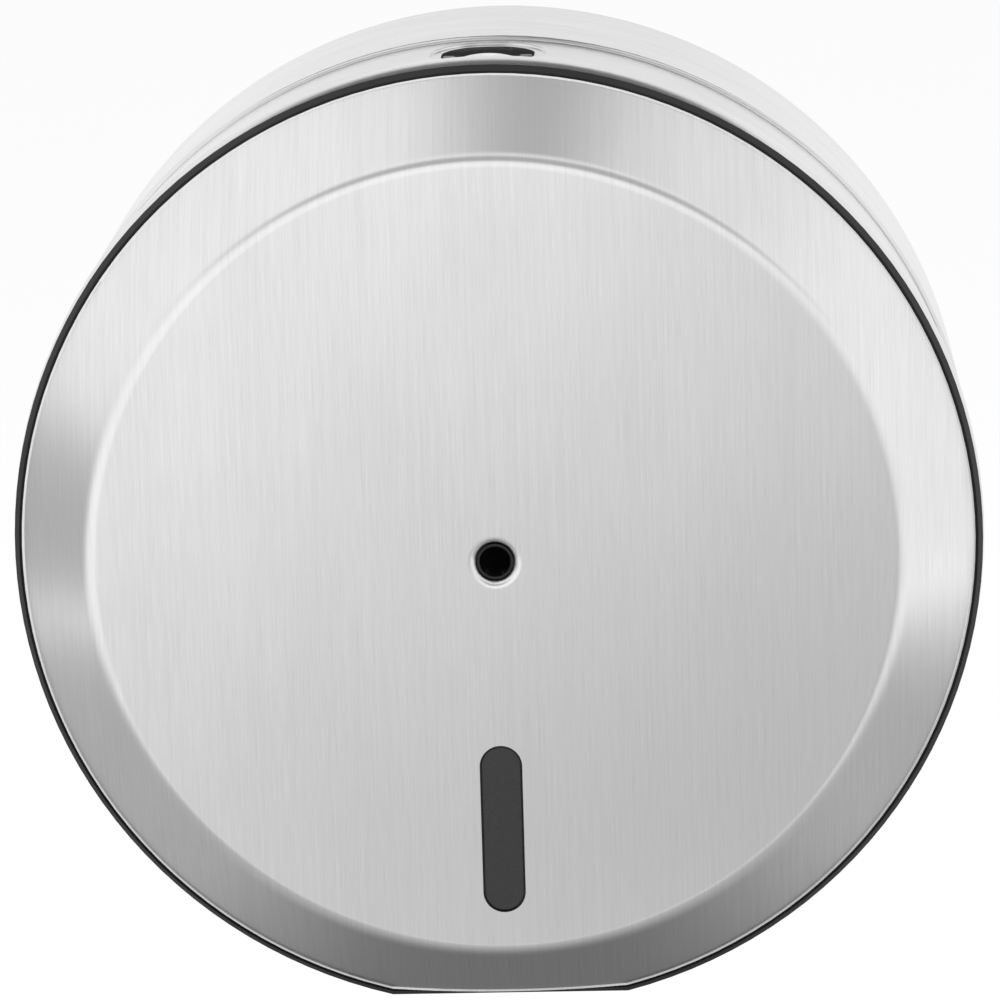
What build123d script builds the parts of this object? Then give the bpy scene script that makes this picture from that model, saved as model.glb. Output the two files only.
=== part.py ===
"""Wall-mounted centre pull dispenser for toilet roll, in millimetres.

The drum stands on the wall plane (y = 0) and its axis runs along Y. The front faces -Y and +Z is up.
Depths are measured from the wall towards the front, so a depth of 66 lies on y = -66.
Radii are measured from the drum's axis. Heights are values of z.
"""
import os
from math import atan2, cos, hypot, pi, radians, sin, sqrt, tan

from build123d import *

os.makedirs("parts", exist_ok=True)

# Sheet and body
SHEET = 1.0                  # stainless sheet of drum, band and front plate
BODY_R = 135.0               # outside of the drum and the black ring
FLAT_RISE = 4.6              # round foot up to the flat under the body
SEAM_DEPTH = 66.0            # wall to the front face of the drum
COVER_DEPTH = 73.3           # front face of the drum to the plateau's outer face
SEAM_GAP = 1.2               # drum to band, all the way round
BACK_CORNER_R = 3.0          # rounded edge at the wall
LIP_R = 1.0                  # rounded front edge of the drum
DRUM_LIP_W = 7.0             # return lip of the drum, measured inwards from its outside
FLAT_LIP_W = 5.0             # return lips along the flat
BACK_RIB_R = 46.0            # middle of the pressed rib in the back
BACK_RIB_W = 8.0
BACK_RIB_H = 1.2

# Holes for the wall screws
WALL_HOLE_D = 5.5
WALL_HOLE_DX = 130.0
WALL_HOLE_DZ = 110.0

# Front plate
BEVEL_RISE = 19.06           # lip's face to the plateau's face, along the depth
BEVEL_W = 19.7               # lip in to where plateau and bevel would meet without the bend
BEND_R = 6.5
LIP_W = 0.6                  # flat lip round the plate's edge
LIP_FOLD_R = 0.4             # fold from the bevel into the lip
PAPER_HOLE_R = 5.2
PAPER_HOLE_ROUND = 2.2       # rounding where the plateau is drawn in
PAPER_HOLE_DRAW = 3.0        # depth of the drawn-in collar

# Window in the plateau
WINDOW_W = 11.8
WINDOW_H = 48.0
WINDOW_INSET = 36.0          # plateau's edge to the window's middle
WINDOW_PLAY = 0.3            # lens pad to the edge of its slot
LENS_RECESS = 0.4
LENS_EDGE = 0.4              # chamfer round the pad
LENS_FLANGE_T = 1.6
LENS_LAND = 5.0              # flange beyond the slot's sides
LENS_END_LAND = 4.8          # flange beyond the studs
WINDOW_STUD_GAP = 4.6        # slot's end to the stud
GASKET_T = 0.5
GASKET_LAND = 1.0            # gasket's opening beyond the slot

# Black ring
RING_INSET = 0.4             # drum's outside in to the ring's outside
RING_H = 2.0                 # along the depth
RING_SIDE = 0.4              # straight side before the slanted face
RING_EDGE_W = 1.3            # width of the slanted face
RING_LAND = 0.2              # front land of the ring
RING_GAP = 0.7               # land to the plate's edge
RING_FLAT_W = 2.2            # flat under the body up to the plate's straight edge
GROOVE_PLAY = 0.1            # groove's floor to the back of the plate's lip
RING_FLANGE_T = 2.2
RING_SEAT_W = 4.05           # plate's edge in to the back of the seat
RING_BOSS_R = 4.2
SEAT_GAP = 0.05              # bevel to what it rests on
SEAT_SETBACK = 0.2           # seat's flat inside the fold of the plate's straight lip

# Band of the cover
BAND_INSET = 1.2             # band inside the drum's outside
BEAD_PROUD = 0.35            # bead's crest outside the drum's outside
BEAD_W = 13.24               # bead and its slopes, along the depth
BEAD_SLOPE = 2.0             # length of the step from the band up to the crest
BEAD_CREST = 6.5             # crest, to where it would meet the front slope without the curve
BEAD_FALL = 1.9              # crest down to the front edge
BEAD_CURVE_R = 16.0          # curve from the crest into the front slope
BEAD_ROUND = 1.4
BEAD_FRONT_ROUND = 0.8
BAND_EDGE_R = 0.4            # rear edge of the band
BAND_LIP_W = 5.0             # rear return lip, measured inwards from the band's outside
BAND_FLANGE_W = 13.5         # front flange, measured inwards from the drum's outside

# Studs that hold plate, ring and band
RIM_STUD_COUNT = 6
RIM_STUD_INSET = 8.5         # drum's outside in to the studs
RIM_STUD_L = 8.5             # behind the front flange's face
STUD_PLAY = 0.2              # stud to its hole, on the radius

# Nozzle
NOZZLE_PLAY = 0.2            # tube to the drawn-in collar
NOZZLE_RECESS = 1.3          # plateau's face to the mouth
MOUTH_LIP = 0.7
THROAT_R = 3.75
THROAT_L = 3.0               # mouth to the throat
FUNNEL_L = 11.0              # throat to the funnel's edge
FUNNEL_R = 14.0
FUNNEL_WALL = 2.0
NECK_WALL = 1.0              # round the collar
NOZZLE_FLANGE_T = 2.0
NOZZLE_LAND = 0.9            # flange beyond the push nuts
NOZZLE_STUD_COUNT = 3
COLLAR_PLAY = 0.3            # nozzle to the outside of the collar

# Recess on top of the band, halfway between the seam and the bead
RECESS_L = 24.0              # opening along the depth
RECESS_W = 26.0              # opening across
RECESS_R = 9.5               # corners of the opening
DISH_W = 3.0                 # width of the dished rim
DISH_DROP = 0.7
DISH_ROUND = 0.3             # rounding at the rim's outer edge and foot

# Latch housing
HOUSING_WALL = 1.6
FLOOR_T = 2.0
SPRING_ROOM = 8.5            # floor plate up to the slider
EAR_DROP = 3.3               # band's inside down to the top of the ears
EAR_T = 3.0
EAR_R = 5.0
EAR_REACH = 7.4              # housing's side to the stud
BOSS_REACH = 2.6             # housing's side to the floor screw
FLOOR_BOSS_R = 3.2
FLOOR_BOSS_H = 10.0
BOSS_BORE_R = 1.1

# Latch slider and tab
LATCH_TRAVEL = 5.0
SLIDE_PLAY = 0.3
SLIDER_DROP = 10.8           # band's outside down to the slider's top
SLIDER_H = 7.0
ARM_W = 14.0
ARM_H = 4.5
ARM_DROP = 0.5               # arm's top below the slider's top
HOOK_T = 3.0
HOOK_RISE = 4.0              # hook above the arm
HOOK_LEAD = 2.0              # length of the lead-in slope
TAB_T = 1.2
TAB_W = 17.2
TAB_FORWARD = 3.9            # recess's middle to the front face of the tab's wall
TAB_DROP = 0.3               # band's outside down to the tab's top
TAB_ARCH = 1.5
TAB_EDGE_R = 0.8             # rounding of the cap's rear edge
TAB_SETBACK = 0.1            # slider's front to the end of the tab's foot
TAB_RIVET_X = 4.5
CHEEK_DROP = 0.9             # band's outside down to the cheeks beside the tab
CHEEK_GAP = 0.4              # tab to each cheek
CHEEK_W = 3.4
CHEEK_L = 5.0
CHEEK_ROUND = 0.6

# Latch springs
SPRING_X = 8.0
SPRING_WIRE = 0.6
SPRING_R = 2.2               # coil's mean radius
SPRING_TURNS = 6
POCKET_PLAY = 0.4
POCKET_H = 4.0
SPRING_SEAT_GAP = 0.05

# Strike
STRIKE_T = 1.5
STRIKE_W = 28.0
STRIKE_PLAY = 0.5            # arm to the strike's lower edge
HOOK_PLAY = 0.3              # hook to the strike's rear face

# Hinge under the flat
BARREL_R = 2.5
BARREL_GAP = 0.4             # flat to the barrel
PIN_R = 1.5
PIN_PLAY = 0.05
PIN_HEAD_R = 2.2
PIN_HEAD_T = 0.8
LEAF_W = 56.0
LEAF_L = 18.0
LEAF_T = 1.0
KNUCKLES = 5
KNUCKLE_GAP = 0.2
KNUCKLE_RELIEF = 0.3
LEAF_RIVET_COUNT = 3
LEAF_RIVET_PITCH = 20.0
LEAF_RIVET_INSET = 7.5       # rivets from the leaf's free edge

# Roll cradle
ROLL_ROOM = 31.5             # body's outside in to the largest roll
ROLL_PLAY = 1.0
SADDLE_T = 3.0
SADDLE_ANGLE = 120.0
SADDLE_FRONT_GAP = 18.0      # saddle to the nozzle's funnel
CRADLE_BACK_T = 3.0
CRADLE_LIP_PLAY = 0.4        # ribs to the edge of the drum's lip
CRADLE_SETBACK = 10.0        # drum's front back to where the ribs start to taper
CRADLE_TIP_W = 3.0           # rib's height at the saddle's front edge
CRADLE_RIB_T = 2.5
CRADLE_RIBS = 5
CRADLE_STUD_L = 10.0

# Fasteners
M4_R = 2.0
M4_NUT_AF = 7.0
M4_NUT_T = 3.2
M4_WASHER_R = 4.5
M4_WASHER_T = 0.8
M3_R = 1.5
M3_NUT_AF = 5.5
M3_NUT_T = 2.4
M3_WASHER_R = 3.4
M3_WASHER_T = 0.5
SMALL_STUD_R = 1.25
SMALL_STUD_L = 3.5
PUSH_NUT_R = 3.6
PUSH_NUT_T = 0.6
PUSH_NUT_CROWN = 0.7
PUSH_NUT_ROOM = 1.7          # nozzle's neck to the push nuts
FLOOR_SCREW_R = 1.05
FLOOR_SCREW_HEAD_R = 2.2
FLOOR_SCREW_HEAD_T = 1.5
FLOOR_SCREW_L = 7.0
DRIVE_W = 0.6                # width of the cross recess
DRIVE_L = 2.6
DRIVE_DEPTH = 0.8
STUD_STANDOUT = 1.5          # stud beyond its nut
RIVET_R = 1.4
RIVET_HEAD_R = 2.5
RIVET_HEAD_T = 1.2
RIVET_TAIL_R = 2.1
RIVET_TAIL_T = 0.9
RIVET_PLAY = 0.1

# Depths worked out from the sizes above
SEAM_FRONT = SEAM_DEPTH + SEAM_GAP
STRIKE_FRONT = SEAM_DEPTH - SHEET
STRIKE_REAR = STRIKE_FRONT - STRIKE_T
HINGE_DEPTH = SEAM_DEPTH + SEAM_GAP / 2
FACE_DEPTH = SEAM_DEPTH + COVER_DEPTH
PLATEAU_BACK = FACE_DEPTH - SHEET
RIM_DEPTH = FACE_DEPTH - BEVEL_RISE
RING_BACK = RIM_DEPTH - RING_H
RING_GROOVE = RIM_DEPTH - SHEET - GROOVE_PLAY
RING_FLANGE_FRONT = RING_BACK + RING_FLANGE_T
BAND_FLANGE_BACK = RING_BACK - SHEET
RIM_STUD_END = RING_BACK - RIM_STUD_L
BEAD_START = RING_BACK - BEAD_W
BEAD_CREST_START = BEAD_START + BEAD_SLOPE
BEAD_CREST_END = BEAD_CREST_START + BEAD_CREST
RECESS_DEPTH = (SEAM_FRONT + BEAD_START) / 2
RECESS_REAR = RECESS_DEPTH - RECESS_L / 2
TAB_DEPTH = RECESS_DEPTH + TAB_FORWARD
TAB_FOOT_L = RECESS_L / 2 - SLIDE_PLAY - TAB_FORWARD - TAB_SETBACK
NOZZLE_END = FACE_DEPTH - NOZZLE_RECESS
THROAT_DEPTH = NOZZLE_END - THROAT_L
FUNNEL_DEPTH = THROAT_DEPTH - FUNNEL_L
SADDLE_LENGTH = FUNNEL_DEPTH - SADDLE_FRONT_GAP
CRADLE_FOOT_LENGTH = SEAM_DEPTH - CRADLE_SETBACK

# Radii and heights worked out from the sizes above
BODY_FLAT = BODY_R - FLAT_RISE
DRUM_LIP_R = BODY_R - DRUM_LIP_W
BAND_R = BODY_R - BAND_INSET
BEAD_R = BODY_R + BEAD_PROUD
BEAD_FOOT_R = BEAD_R - BEAD_FALL
BAND_IN_R = BAND_R - SHEET
BAND_LIP_R = BAND_R - BAND_LIP_W
BAND_FLANGE_R = BODY_R - BAND_FLANGE_W
RING_R = BODY_R - RING_INSET
RING_FRONT_R = RING_R - RING_EDGE_W
RING_LAND_R = RING_FRONT_R - RING_LAND
RIM_R = RING_LAND_R - RING_GAP
FOLD_R = RIM_R - LIP_W
RIM_STUD_R = BODY_R - RIM_STUD_INSET
RING_SEAT_R = RIM_R - RING_SEAT_W
PLATEAU_R = FOLD_R - BEVEL_W
PLATE_FLAT = BODY_FLAT - RING_FLAT_W
FOLD_FLAT = PLATE_FLAT - LIP_W
BEVEL = atan2(BEVEL_RISE, BEVEL_W)
WINDOW_Z = WINDOW_INSET - PLATEAU_R
NOZZLE_NECK_R = PAPER_HOLE_R + PAPER_HOLE_ROUND + COLLAR_PLAY + NECK_WALL
NOZZLE_STUD_R = NOZZLE_NECK_R + PUSH_NUT_ROOM + PUSH_NUT_R
NOZZLE_FLANGE_R = NOZZLE_STUD_R + PUSH_NUT_R + NOZZLE_LAND
SLIDER_TOP = BAND_R - SLIDER_DROP
SLIDER_BOTTOM = SLIDER_TOP - SLIDER_H
ARM_TOP = SLIDER_TOP - ARM_DROP
ARM_BOTTOM = ARM_TOP - ARM_H
POCKET_TOP = SLIDER_BOTTOM + POCKET_H
HOUSING_FLOOR = SLIDER_BOTTOM - SPRING_ROOM
EAR_TOP = BAND_IN_R - EAR_DROP
TAB_TOP = BAND_R - TAB_DROP
CHEEK_TOP = BAND_R - CHEEK_DROP
HINGE_Z = -(BODY_FLAT + BARREL_GAP + BARREL_R)
ROLL_R = BODY_R - ROLL_ROOM
CRADLE_FOOT_R = DRUM_LIP_R - CRADLE_LIP_PLAY
FULL_TURN = 360.0

# Sketches of turned shapes: radius along the first axis, depth along the second
TURNED = Plane(origin=(0, 0, 0), x_dir=(1, 0, 0), z_dir=(0, 0, -1))


def at_depth(depth):
    """Plane parallel to the wall, facing the front, with +X to the right and +Z up."""
    return Plane.XZ.offset(depth)


def bevel_depth(radius, inset):
    """Depth of the bevel at a radius, inset square to its outer face."""
    return RIM_DEPTH + (FOLD_R - radius) * tan(BEVEL) - inset / cos(BEVEL)


def body_outline(depth, radius, flat):
    """Circle with a flat at its foot."""
    with BuildSketch(at_depth(depth)) as outline:
        Circle(radius)
        with Locations((0, -flat)):
            Rectangle(2 * radius, 2 * radius, align=(Align.CENTER, Align.MAX), mode=Mode.SUBTRACT)
    return outline.sketch


def turned_face(*points):
    """Closed outline of (radius, depth) points, to be turned about the drum's axis."""
    with BuildSketch(TURNED) as section:
        with BuildLine():
            Polyline(*points, close=True)
        make_face()
    return section.sketch


def nut_sketch(plane, places, across_flats, bore):
    """Hexagons with a round bore at the given places."""
    with BuildSketch(plane) as nuts:
        with Locations(*places):
            RegularPolygon(across_flats / 2, 6, major_radius=False)
            Circle(bore, mode=Mode.SUBTRACT)
    return nuts.sketch


def disc_sketch(plane, places, outer, inner=0.0):
    """Discs or rings at the given places."""
    with BuildSketch(plane) as discs:
        with Locations(*places):
            Circle(outer)
            if inner > 0:
                Circle(inner, mode=Mode.SUBTRACT)
    return discs.sketch


def on_circle(radius, angles):
    """Points on a circle, from angles in degrees."""
    return [(radius * cos(radians(a)), radius * sin(radians(a))) for a in angles]


def slot_sketch(plane, height, width, centre_z):
    """Upright slot with round ends."""
    with BuildSketch(plane) as slot:
        with Locations((0, centre_z)):
            SlotOverall(height, width, rotation=90)
    return slot.sketch


def finish(piece, name):
    """Labels a finished piece and writes it."""
    piece.part.label = name
    export_step(piece.part, f"parts/{name}.step")


on_axis = [(0, 0)]
rim_angles = [i * FULL_TURN / RIM_STUD_COUNT for i in range(RIM_STUD_COUNT)]
rim_places = on_circle(RIM_STUD_R, rim_angles)
nozzle_angles = [90 + i * FULL_TURN / NOZZLE_STUD_COUNT for i in range(NOZZLE_STUD_COUNT)]
nozzle_places = on_circle(NOZZLE_STUD_R, nozzle_angles)
window_stud_offset = WINDOW_H / 2 + WINDOW_STUD_GAP
window_places = [(0, WINDOW_Z + side * window_stud_offset) for side in (-1, 1)]
rib_step = SADDLE_ANGLE / (CRADLE_RIBS - 1)
rib_angles = [-90 - SADDLE_ANGLE / 2 + i * rib_step for i in range(CRADLE_RIBS)]
saddle_in = ROLL_R + ROLL_PLAY
saddle_out = saddle_in + SADDLE_T
stud_angles = [angle + rib_step / 2 for angle in rib_angles[:-1]]
cradle_places = on_circle((saddle_out + CRADLE_FOOT_R) / 2, stud_angles)
leaf_rivet_x = [(i - (LEAF_RIVET_COUNT - 1) / 2) * LEAF_RIVET_PITCH for i in range(LEAF_RIVET_COUNT)]
rear_rivet_y = -(HINGE_DEPTH - LEAF_L + LEAF_RIVET_INSET)
cover_rivet_y = -(HINGE_DEPTH + LEAF_L - LEAF_RIVET_INSET)

# Space behind the bevel, with its lower edge just inside the fold of the plate's straight lip
with BuildPart() as behind_bevel:
    revolve(
        turned_face(
            (0, RIM_STUD_END - SHEET),
            (RIM_R + SHEET, RIM_STUD_END - SHEET),
            (RIM_R + SHEET, bevel_depth(RIM_R + SHEET, SHEET + SEAT_GAP)),
            (BAND_FLANGE_R, bevel_depth(BAND_FLANGE_R, SHEET + SEAT_GAP)),
            (0, bevel_depth(BAND_FLANGE_R, SHEET + SEAT_GAP)),
        ),
        axis=Axis.Y,
    )
    split(bisect_by=Plane.XY.offset(-(FOLD_FLAT - SEAT_SETBACK)), keep=Keep.TOP)

# Hollow of the drum, with its own flat
with BuildPart() as drum_hollow:
    with BuildSketch(TURNED):
        with BuildLine():
            FilletPolyline(
                (0, SHEET),
                (BODY_R - SHEET, SHEET),
                (BODY_R - SHEET, STRIKE_FRONT),
                radius=BACK_CORNER_R - SHEET,
            )
            Polyline((BODY_R - SHEET, STRIKE_FRONT), (0, STRIKE_FRONT), (0, SHEET))
        make_face()
    revolve(axis=Axis.Y)
    split(bisect_by=Plane.XY.offset(-(BODY_FLAT - SHEET)), keep=Keep.TOP)

# Hollow of the band, which follows the bead, with its own flat
with BuildPart() as band_hollow:
    revolve(
        turned_face(
            (0, SEAM_FRONT + SHEET),
            (BAND_IN_R, SEAM_FRONT + SHEET),
            (BAND_IN_R, BEAD_START + SHEET / 2),
            (BEAD_R - SHEET, BEAD_CREST_START + SHEET / 2),
            (BEAD_R - SHEET, BEAD_CREST_END - SHEET / 2),
            (BEAD_FOOT_R - SHEET, BAND_FLANGE_BACK),
            (0, BAND_FLANGE_BACK),
        ),
        axis=Axis.Y,
    )
    split(bisect_by=Plane.XY.offset(-(BODY_FLAT - SHEET)), keep=Keep.TOP)

# Drum that stands on the wall
with BuildPart() as rear_housing:
    with BuildSketch(TURNED):
        with BuildLine():
            FilletPolyline(
                (0, 0),
                (BODY_R, 0),
                (BODY_R, SEAM_DEPTH),
                (0, SEAM_DEPTH),
                radius=(BACK_CORNER_R, LIP_R),
            )
            Line((0, SEAM_DEPTH), (0, 0))
        make_face()
    revolve(axis=Axis.Y)
    split(bisect_by=Plane.XY.offset(-BODY_FLAT), keep=Keep.TOP)
    add(drum_hollow.part, mode=Mode.SUBTRACT)
    extrude(
        body_outline(STRIKE_FRONT, DRUM_LIP_R, BODY_FLAT - FLAT_LIP_W),
        amount=SHEET,
        mode=Mode.SUBTRACT,
    )
    # Pressed rib that stiffens the back: a groove outside, a low ridge inside
    with BuildSketch(at_depth(SHEET)):
        Circle(BACK_RIB_R + BACK_RIB_W / 2 + SHEET)
        Circle(BACK_RIB_R - BACK_RIB_W / 2 - SHEET, mode=Mode.SUBTRACT)
    extrude(amount=BACK_RIB_H)
    with BuildSketch(at_depth(0)):
        Circle(BACK_RIB_R + BACK_RIB_W / 2)
        Circle(BACK_RIB_R - BACK_RIB_W / 2, mode=Mode.SUBTRACT)
    extrude(amount=BACK_RIB_H, mode=Mode.SUBTRACT)
    with BuildSketch(at_depth(0)):
        with GridLocations(WALL_HOLE_DX, WALL_HOLE_DZ, 2, 2):
            Circle(WALL_HOLE_D / 2)
    extrude(amount=SHEET, mode=Mode.SUBTRACT)
    extrude(
        disc_sketch(
            Plane.XY.offset(-BODY_FLAT), [(x, rear_rivet_y) for x in leaf_rivet_x], RIVET_R + RIVET_PLAY
        ),
        amount=SHEET,
        mode=Mode.SUBTRACT,
    )
finish(rear_housing, "rear_housing")

# Plastic saddle for the roll, carried by the drum's back and clear of the cover
first_angle = -90 - SADDLE_ANGLE / 2
with BuildPart() as roll_cradle:
    with BuildSketch(at_depth(SHEET)):
        with BuildLine():
            CenterArc((0, 0), saddle_in, first_angle, SADDLE_ANGLE)
            CenterArc((0, 0), saddle_out, first_angle, SADDLE_ANGLE)
            for angle in (first_angle, first_angle + SADDLE_ANGLE):
                Line(*on_circle(saddle_in, [angle]), *on_circle(saddle_out, [angle]))
        make_face()
    extrude(amount=SADDLE_LENGTH - SHEET)
    with BuildSketch(at_depth(SHEET)):
        with BuildLine():
            CenterArc((0, 0), saddle_out - SADDLE_T / 2, first_angle, SADDLE_ANGLE)
            CenterArc((0, 0), CRADLE_FOOT_R, first_angle, SADDLE_ANGLE)
            for angle in (first_angle, first_angle + SADDLE_ANGLE):
                Line(*on_circle(saddle_out - SADDLE_T / 2, [angle]), *on_circle(CRADLE_FOOT_R, [angle]))
        make_face()
    extrude(amount=CRADLE_BACK_T)
    for angle in rib_angles:
        rib_plane = Plane(
            origin=(0, 0, 0),
            x_dir=(cos(radians(angle)), 0, sin(radians(angle))),
            z_dir=(sin(radians(angle)), 0, -cos(radians(angle))),
        )
        with BuildSketch(rib_plane):
            with BuildLine():
                Polyline(
                    (saddle_out - SADDLE_T / 2, SHEET),
                    (CRADLE_FOOT_R, SHEET),
                    (CRADLE_FOOT_R, CRADLE_FOOT_LENGTH),
                    (saddle_out + CRADLE_TIP_W, SADDLE_LENGTH),
                    (saddle_out - SADDLE_T / 2, SADDLE_LENGTH),
                    close=True,
                )
            make_face()
        extrude(amount=CRADLE_RIB_T / 2, both=True)
    split(bisect_by=Plane.XY.offset(-(BODY_FLAT - FLAT_LIP_W - SHEET)), keep=Keep.TOP)
    extrude(
        disc_sketch(at_depth(SHEET), cradle_places, M4_R + STUD_PLAY),
        amount=CRADLE_BACK_T,
        mode=Mode.SUBTRACT,
    )
finish(roll_cradle, "roll_cradle")

with BuildPart() as cradle_studs:
    extrude(disc_sketch(at_depth(SHEET), cradle_places, M4_R), amount=CRADLE_STUD_L)
    chamfer(cradle_studs.faces().group_by(Axis.Y)[0].edges(), M4_R / 4)
finish(cradle_studs, "cradle_studs")

cradle_washer_depth = SHEET + CRADLE_BACK_T
with BuildPart() as cradle_washers:
    extrude(
        disc_sketch(at_depth(cradle_washer_depth), cradle_places, M4_WASHER_R, M4_R + STUD_PLAY),
        amount=M4_WASHER_T,
    )
finish(cradle_washers, "cradle_washers")

cradle_nut_depth = cradle_washer_depth + M4_WASHER_T
with BuildPart() as cradle_nuts:
    extrude(
        nut_sketch(at_depth(cradle_nut_depth), cradle_places, M4_NUT_AF, M4_R + SEAT_GAP),
        amount=M4_NUT_T,
    )
finish(cradle_nuts, "cradle_nuts")

# Steel strike behind the drum's return lip, at the top
strike_bottom = ARM_TOP + STRIKE_PLAY
with BuildPart() as strike_plate:
    with BuildSketch(at_depth(STRIKE_REAR)):
        Circle(BODY_R - SHEET - SEAT_GAP)
        with Locations((0, strike_bottom)):
            Rectangle(STRIKE_W, BODY_R, align=(Align.CENTER, Align.MIN), mode=Mode.INTERSECT)
    extrude(amount=STRIKE_T)
finish(strike_plate, "strike_plate")

# Hinge: knuckles share one barrel, the rear leaf has the odd ones
knuckle_l = (LEAF_W - (KNUCKLES - 1) * KNUCKLE_GAP) / KNUCKLES
knuckle_starts = [-LEAF_W / 2 + i * (knuckle_l + KNUCKLE_GAP) for i in range(KNUCKLES)]


def hinge_leaf(own, other, side, rivet_y):
    """One leaf: side is 1 for the leaf behind the axis and -1 for the one in front."""
    leaf_floor = -(BODY_FLAT + LEAF_T)
    relief = BARREL_R + KNUCKLE_RELIEF
    with BuildPart() as leaf:
        with BuildSketch(Plane.XY.offset(leaf_floor)):
            with Locations((0, -HINGE_DEPTH + side * LEAF_L / 2)):
                Rectangle(LEAF_W, LEAF_L)
        extrude(amount=LEAF_T)
        corner_edges = leaf.edges().filter_by(Axis.Z).sort_by(Axis.Y, reverse=side > 0)[0:2]
        fillet(corner_edges, 2 * LEAF_T)
        for start in own:
            with BuildSketch(Plane.YZ.offset(start)):
                with Locations((-HINGE_DEPTH, HINGE_Z)):
                    Circle(BARREL_R)
                with Locations((-HINGE_DEPTH + side * BARREL_R / 2, -BODY_FLAT - LEAF_T / 2)):
                    Rectangle(BARREL_R, LEAF_T)
            extrude(amount=knuckle_l)
        for start in other:
            with BuildSketch(Plane.YZ.offset(start - KNUCKLE_GAP)):
                with Locations((-HINGE_DEPTH, HINGE_Z)):
                    Rectangle(2 * relief, 2 * (relief + BARREL_R + BARREL_GAP))
            extrude(amount=knuckle_l + 2 * KNUCKLE_GAP, mode=Mode.SUBTRACT)
        with BuildSketch(Plane.YZ.offset(-LEAF_W / 2)):
            with Locations((-HINGE_DEPTH, HINGE_Z)):
                Circle(PIN_R + PIN_PLAY)
        extrude(amount=LEAF_W, mode=Mode.SUBTRACT)
        extrude(
            disc_sketch(
                Plane.XY.offset(leaf_floor), [(x, rivet_y) for x in leaf_rivet_x], RIVET_R + RIVET_PLAY
            ),
            amount=LEAF_T,
            mode=Mode.SUBTRACT,
        )
    return leaf


hinge_leaf_rear = hinge_leaf(knuckle_starts[0::2], knuckle_starts[1::2], 1, rear_rivet_y)
finish(hinge_leaf_rear, "hinge_leaf_rear")

hinge_leaf_cover = hinge_leaf(knuckle_starts[1::2], knuckle_starts[0::2], -1, cover_rivet_y)
finish(hinge_leaf_cover, "hinge_leaf_cover")

with BuildPart() as hinge_pin:
    with BuildSketch(Plane.YZ.offset(-LEAF_W / 2)):
        with Locations((-HINGE_DEPTH, HINGE_Z)):
            Circle(PIN_R)
    extrude(amount=LEAF_W)
    for start in (-LEAF_W / 2 - PIN_HEAD_T, LEAF_W / 2):
        with BuildSketch(Plane.YZ.offset(start)):
            with Locations((-HINGE_DEPTH, HINGE_Z)):
                Circle(PIN_HEAD_R)
        extrude(amount=PIN_HEAD_T)
    end_faces = [hinge_pin.faces().sort_by(Axis.X)[i] for i in (0, -1)]
    chamfer([edge for face in end_faces for edge in face.edges()], PIN_HEAD_T / 4)
finish(hinge_pin, "hinge_pin")


def leaf_rivets(rivet_y):
    """Rivets through a leaf and the flat: domed heads below, set tails inside."""
    leaf_floor = -(BODY_FLAT + LEAF_T)
    with BuildPart() as rivets:
        for x in leaf_rivet_x:
            with BuildSketch(Plane(origin=(x, rivet_y, 0), x_dir=(1, 0, 0), z_dir=(0, -1, 0))):
                with BuildLine():
                    Line((0, leaf_floor - RIVET_HEAD_T), (0, SHEET - BODY_FLAT + RIVET_TAIL_T))
                    Line(
                        (0, SHEET - BODY_FLAT + RIVET_TAIL_T),
                        (RIVET_TAIL_R, SHEET - BODY_FLAT + RIVET_TAIL_T),
                    )
                    Line(
                        (RIVET_TAIL_R, SHEET - BODY_FLAT + RIVET_TAIL_T),
                        (RIVET_TAIL_R, SHEET - BODY_FLAT),
                    )
                    Line((RIVET_TAIL_R, SHEET - BODY_FLAT), (RIVET_R, SHEET - BODY_FLAT))
                    Line((RIVET_R, SHEET - BODY_FLAT), (RIVET_R, leaf_floor))
                    Line((RIVET_R, leaf_floor), (RIVET_HEAD_R, leaf_floor))
                    TangentArc(
                        (0, leaf_floor - RIVET_HEAD_T), (RIVET_HEAD_R, leaf_floor), tangent=(1, 0)
                    )
                make_face()
            revolve(axis=Axis((x, rivet_y, 0), (0, 0, 1)))
    return rivets


rear_leaf_rivets = leaf_rivets(rear_rivet_y)
finish(rear_leaf_rivets, "rear_leaf_rivets")

cover_leaf_rivets = leaf_rivets(cover_rivet_y)
finish(cover_leaf_rivets, "cover_leaf_rivets")

# Front plate: drawn-in paper hole, flat plateau, bend, bevel, and a lip round all of its edge
with BuildPart() as front_plate:
    with BuildSketch(TURNED):
        with BuildLine():
            FilletPolyline(
                (PAPER_HOLE_R, FACE_DEPTH - PAPER_HOLE_DRAW),
                (PAPER_HOLE_R, FACE_DEPTH),
                (PLATEAU_R, FACE_DEPTH),
                (FOLD_R, RIM_DEPTH),
                (RIM_R, RIM_DEPTH),
                radius=(PAPER_HOLE_ROUND, BEND_R, LIP_FOLD_R),
            )
            offset(amount=SHEET, side=Side.RIGHT)
        make_face()
    revolve(axis=Axis.Y)
    split(bisect_by=Plane.XY.offset(-FOLD_FLAT), keep=Keep.TOP)
    extrude(front_plate.faces().sort_by(Axis.Z)[0], amount=LIP_W)
    extrude(
        disc_sketch(at_depth(RING_BACK), on_axis, RIM_R), amount=FACE_DEPTH - RING_BACK, mode=Mode.INTERSECT
    )
    extrude(
        slot_sketch(at_depth(PLATEAU_BACK), WINDOW_H, WINDOW_W, WINDOW_Z),
        amount=SHEET,
        mode=Mode.SUBTRACT,
    )
finish(front_plate, "front_plate")

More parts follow.
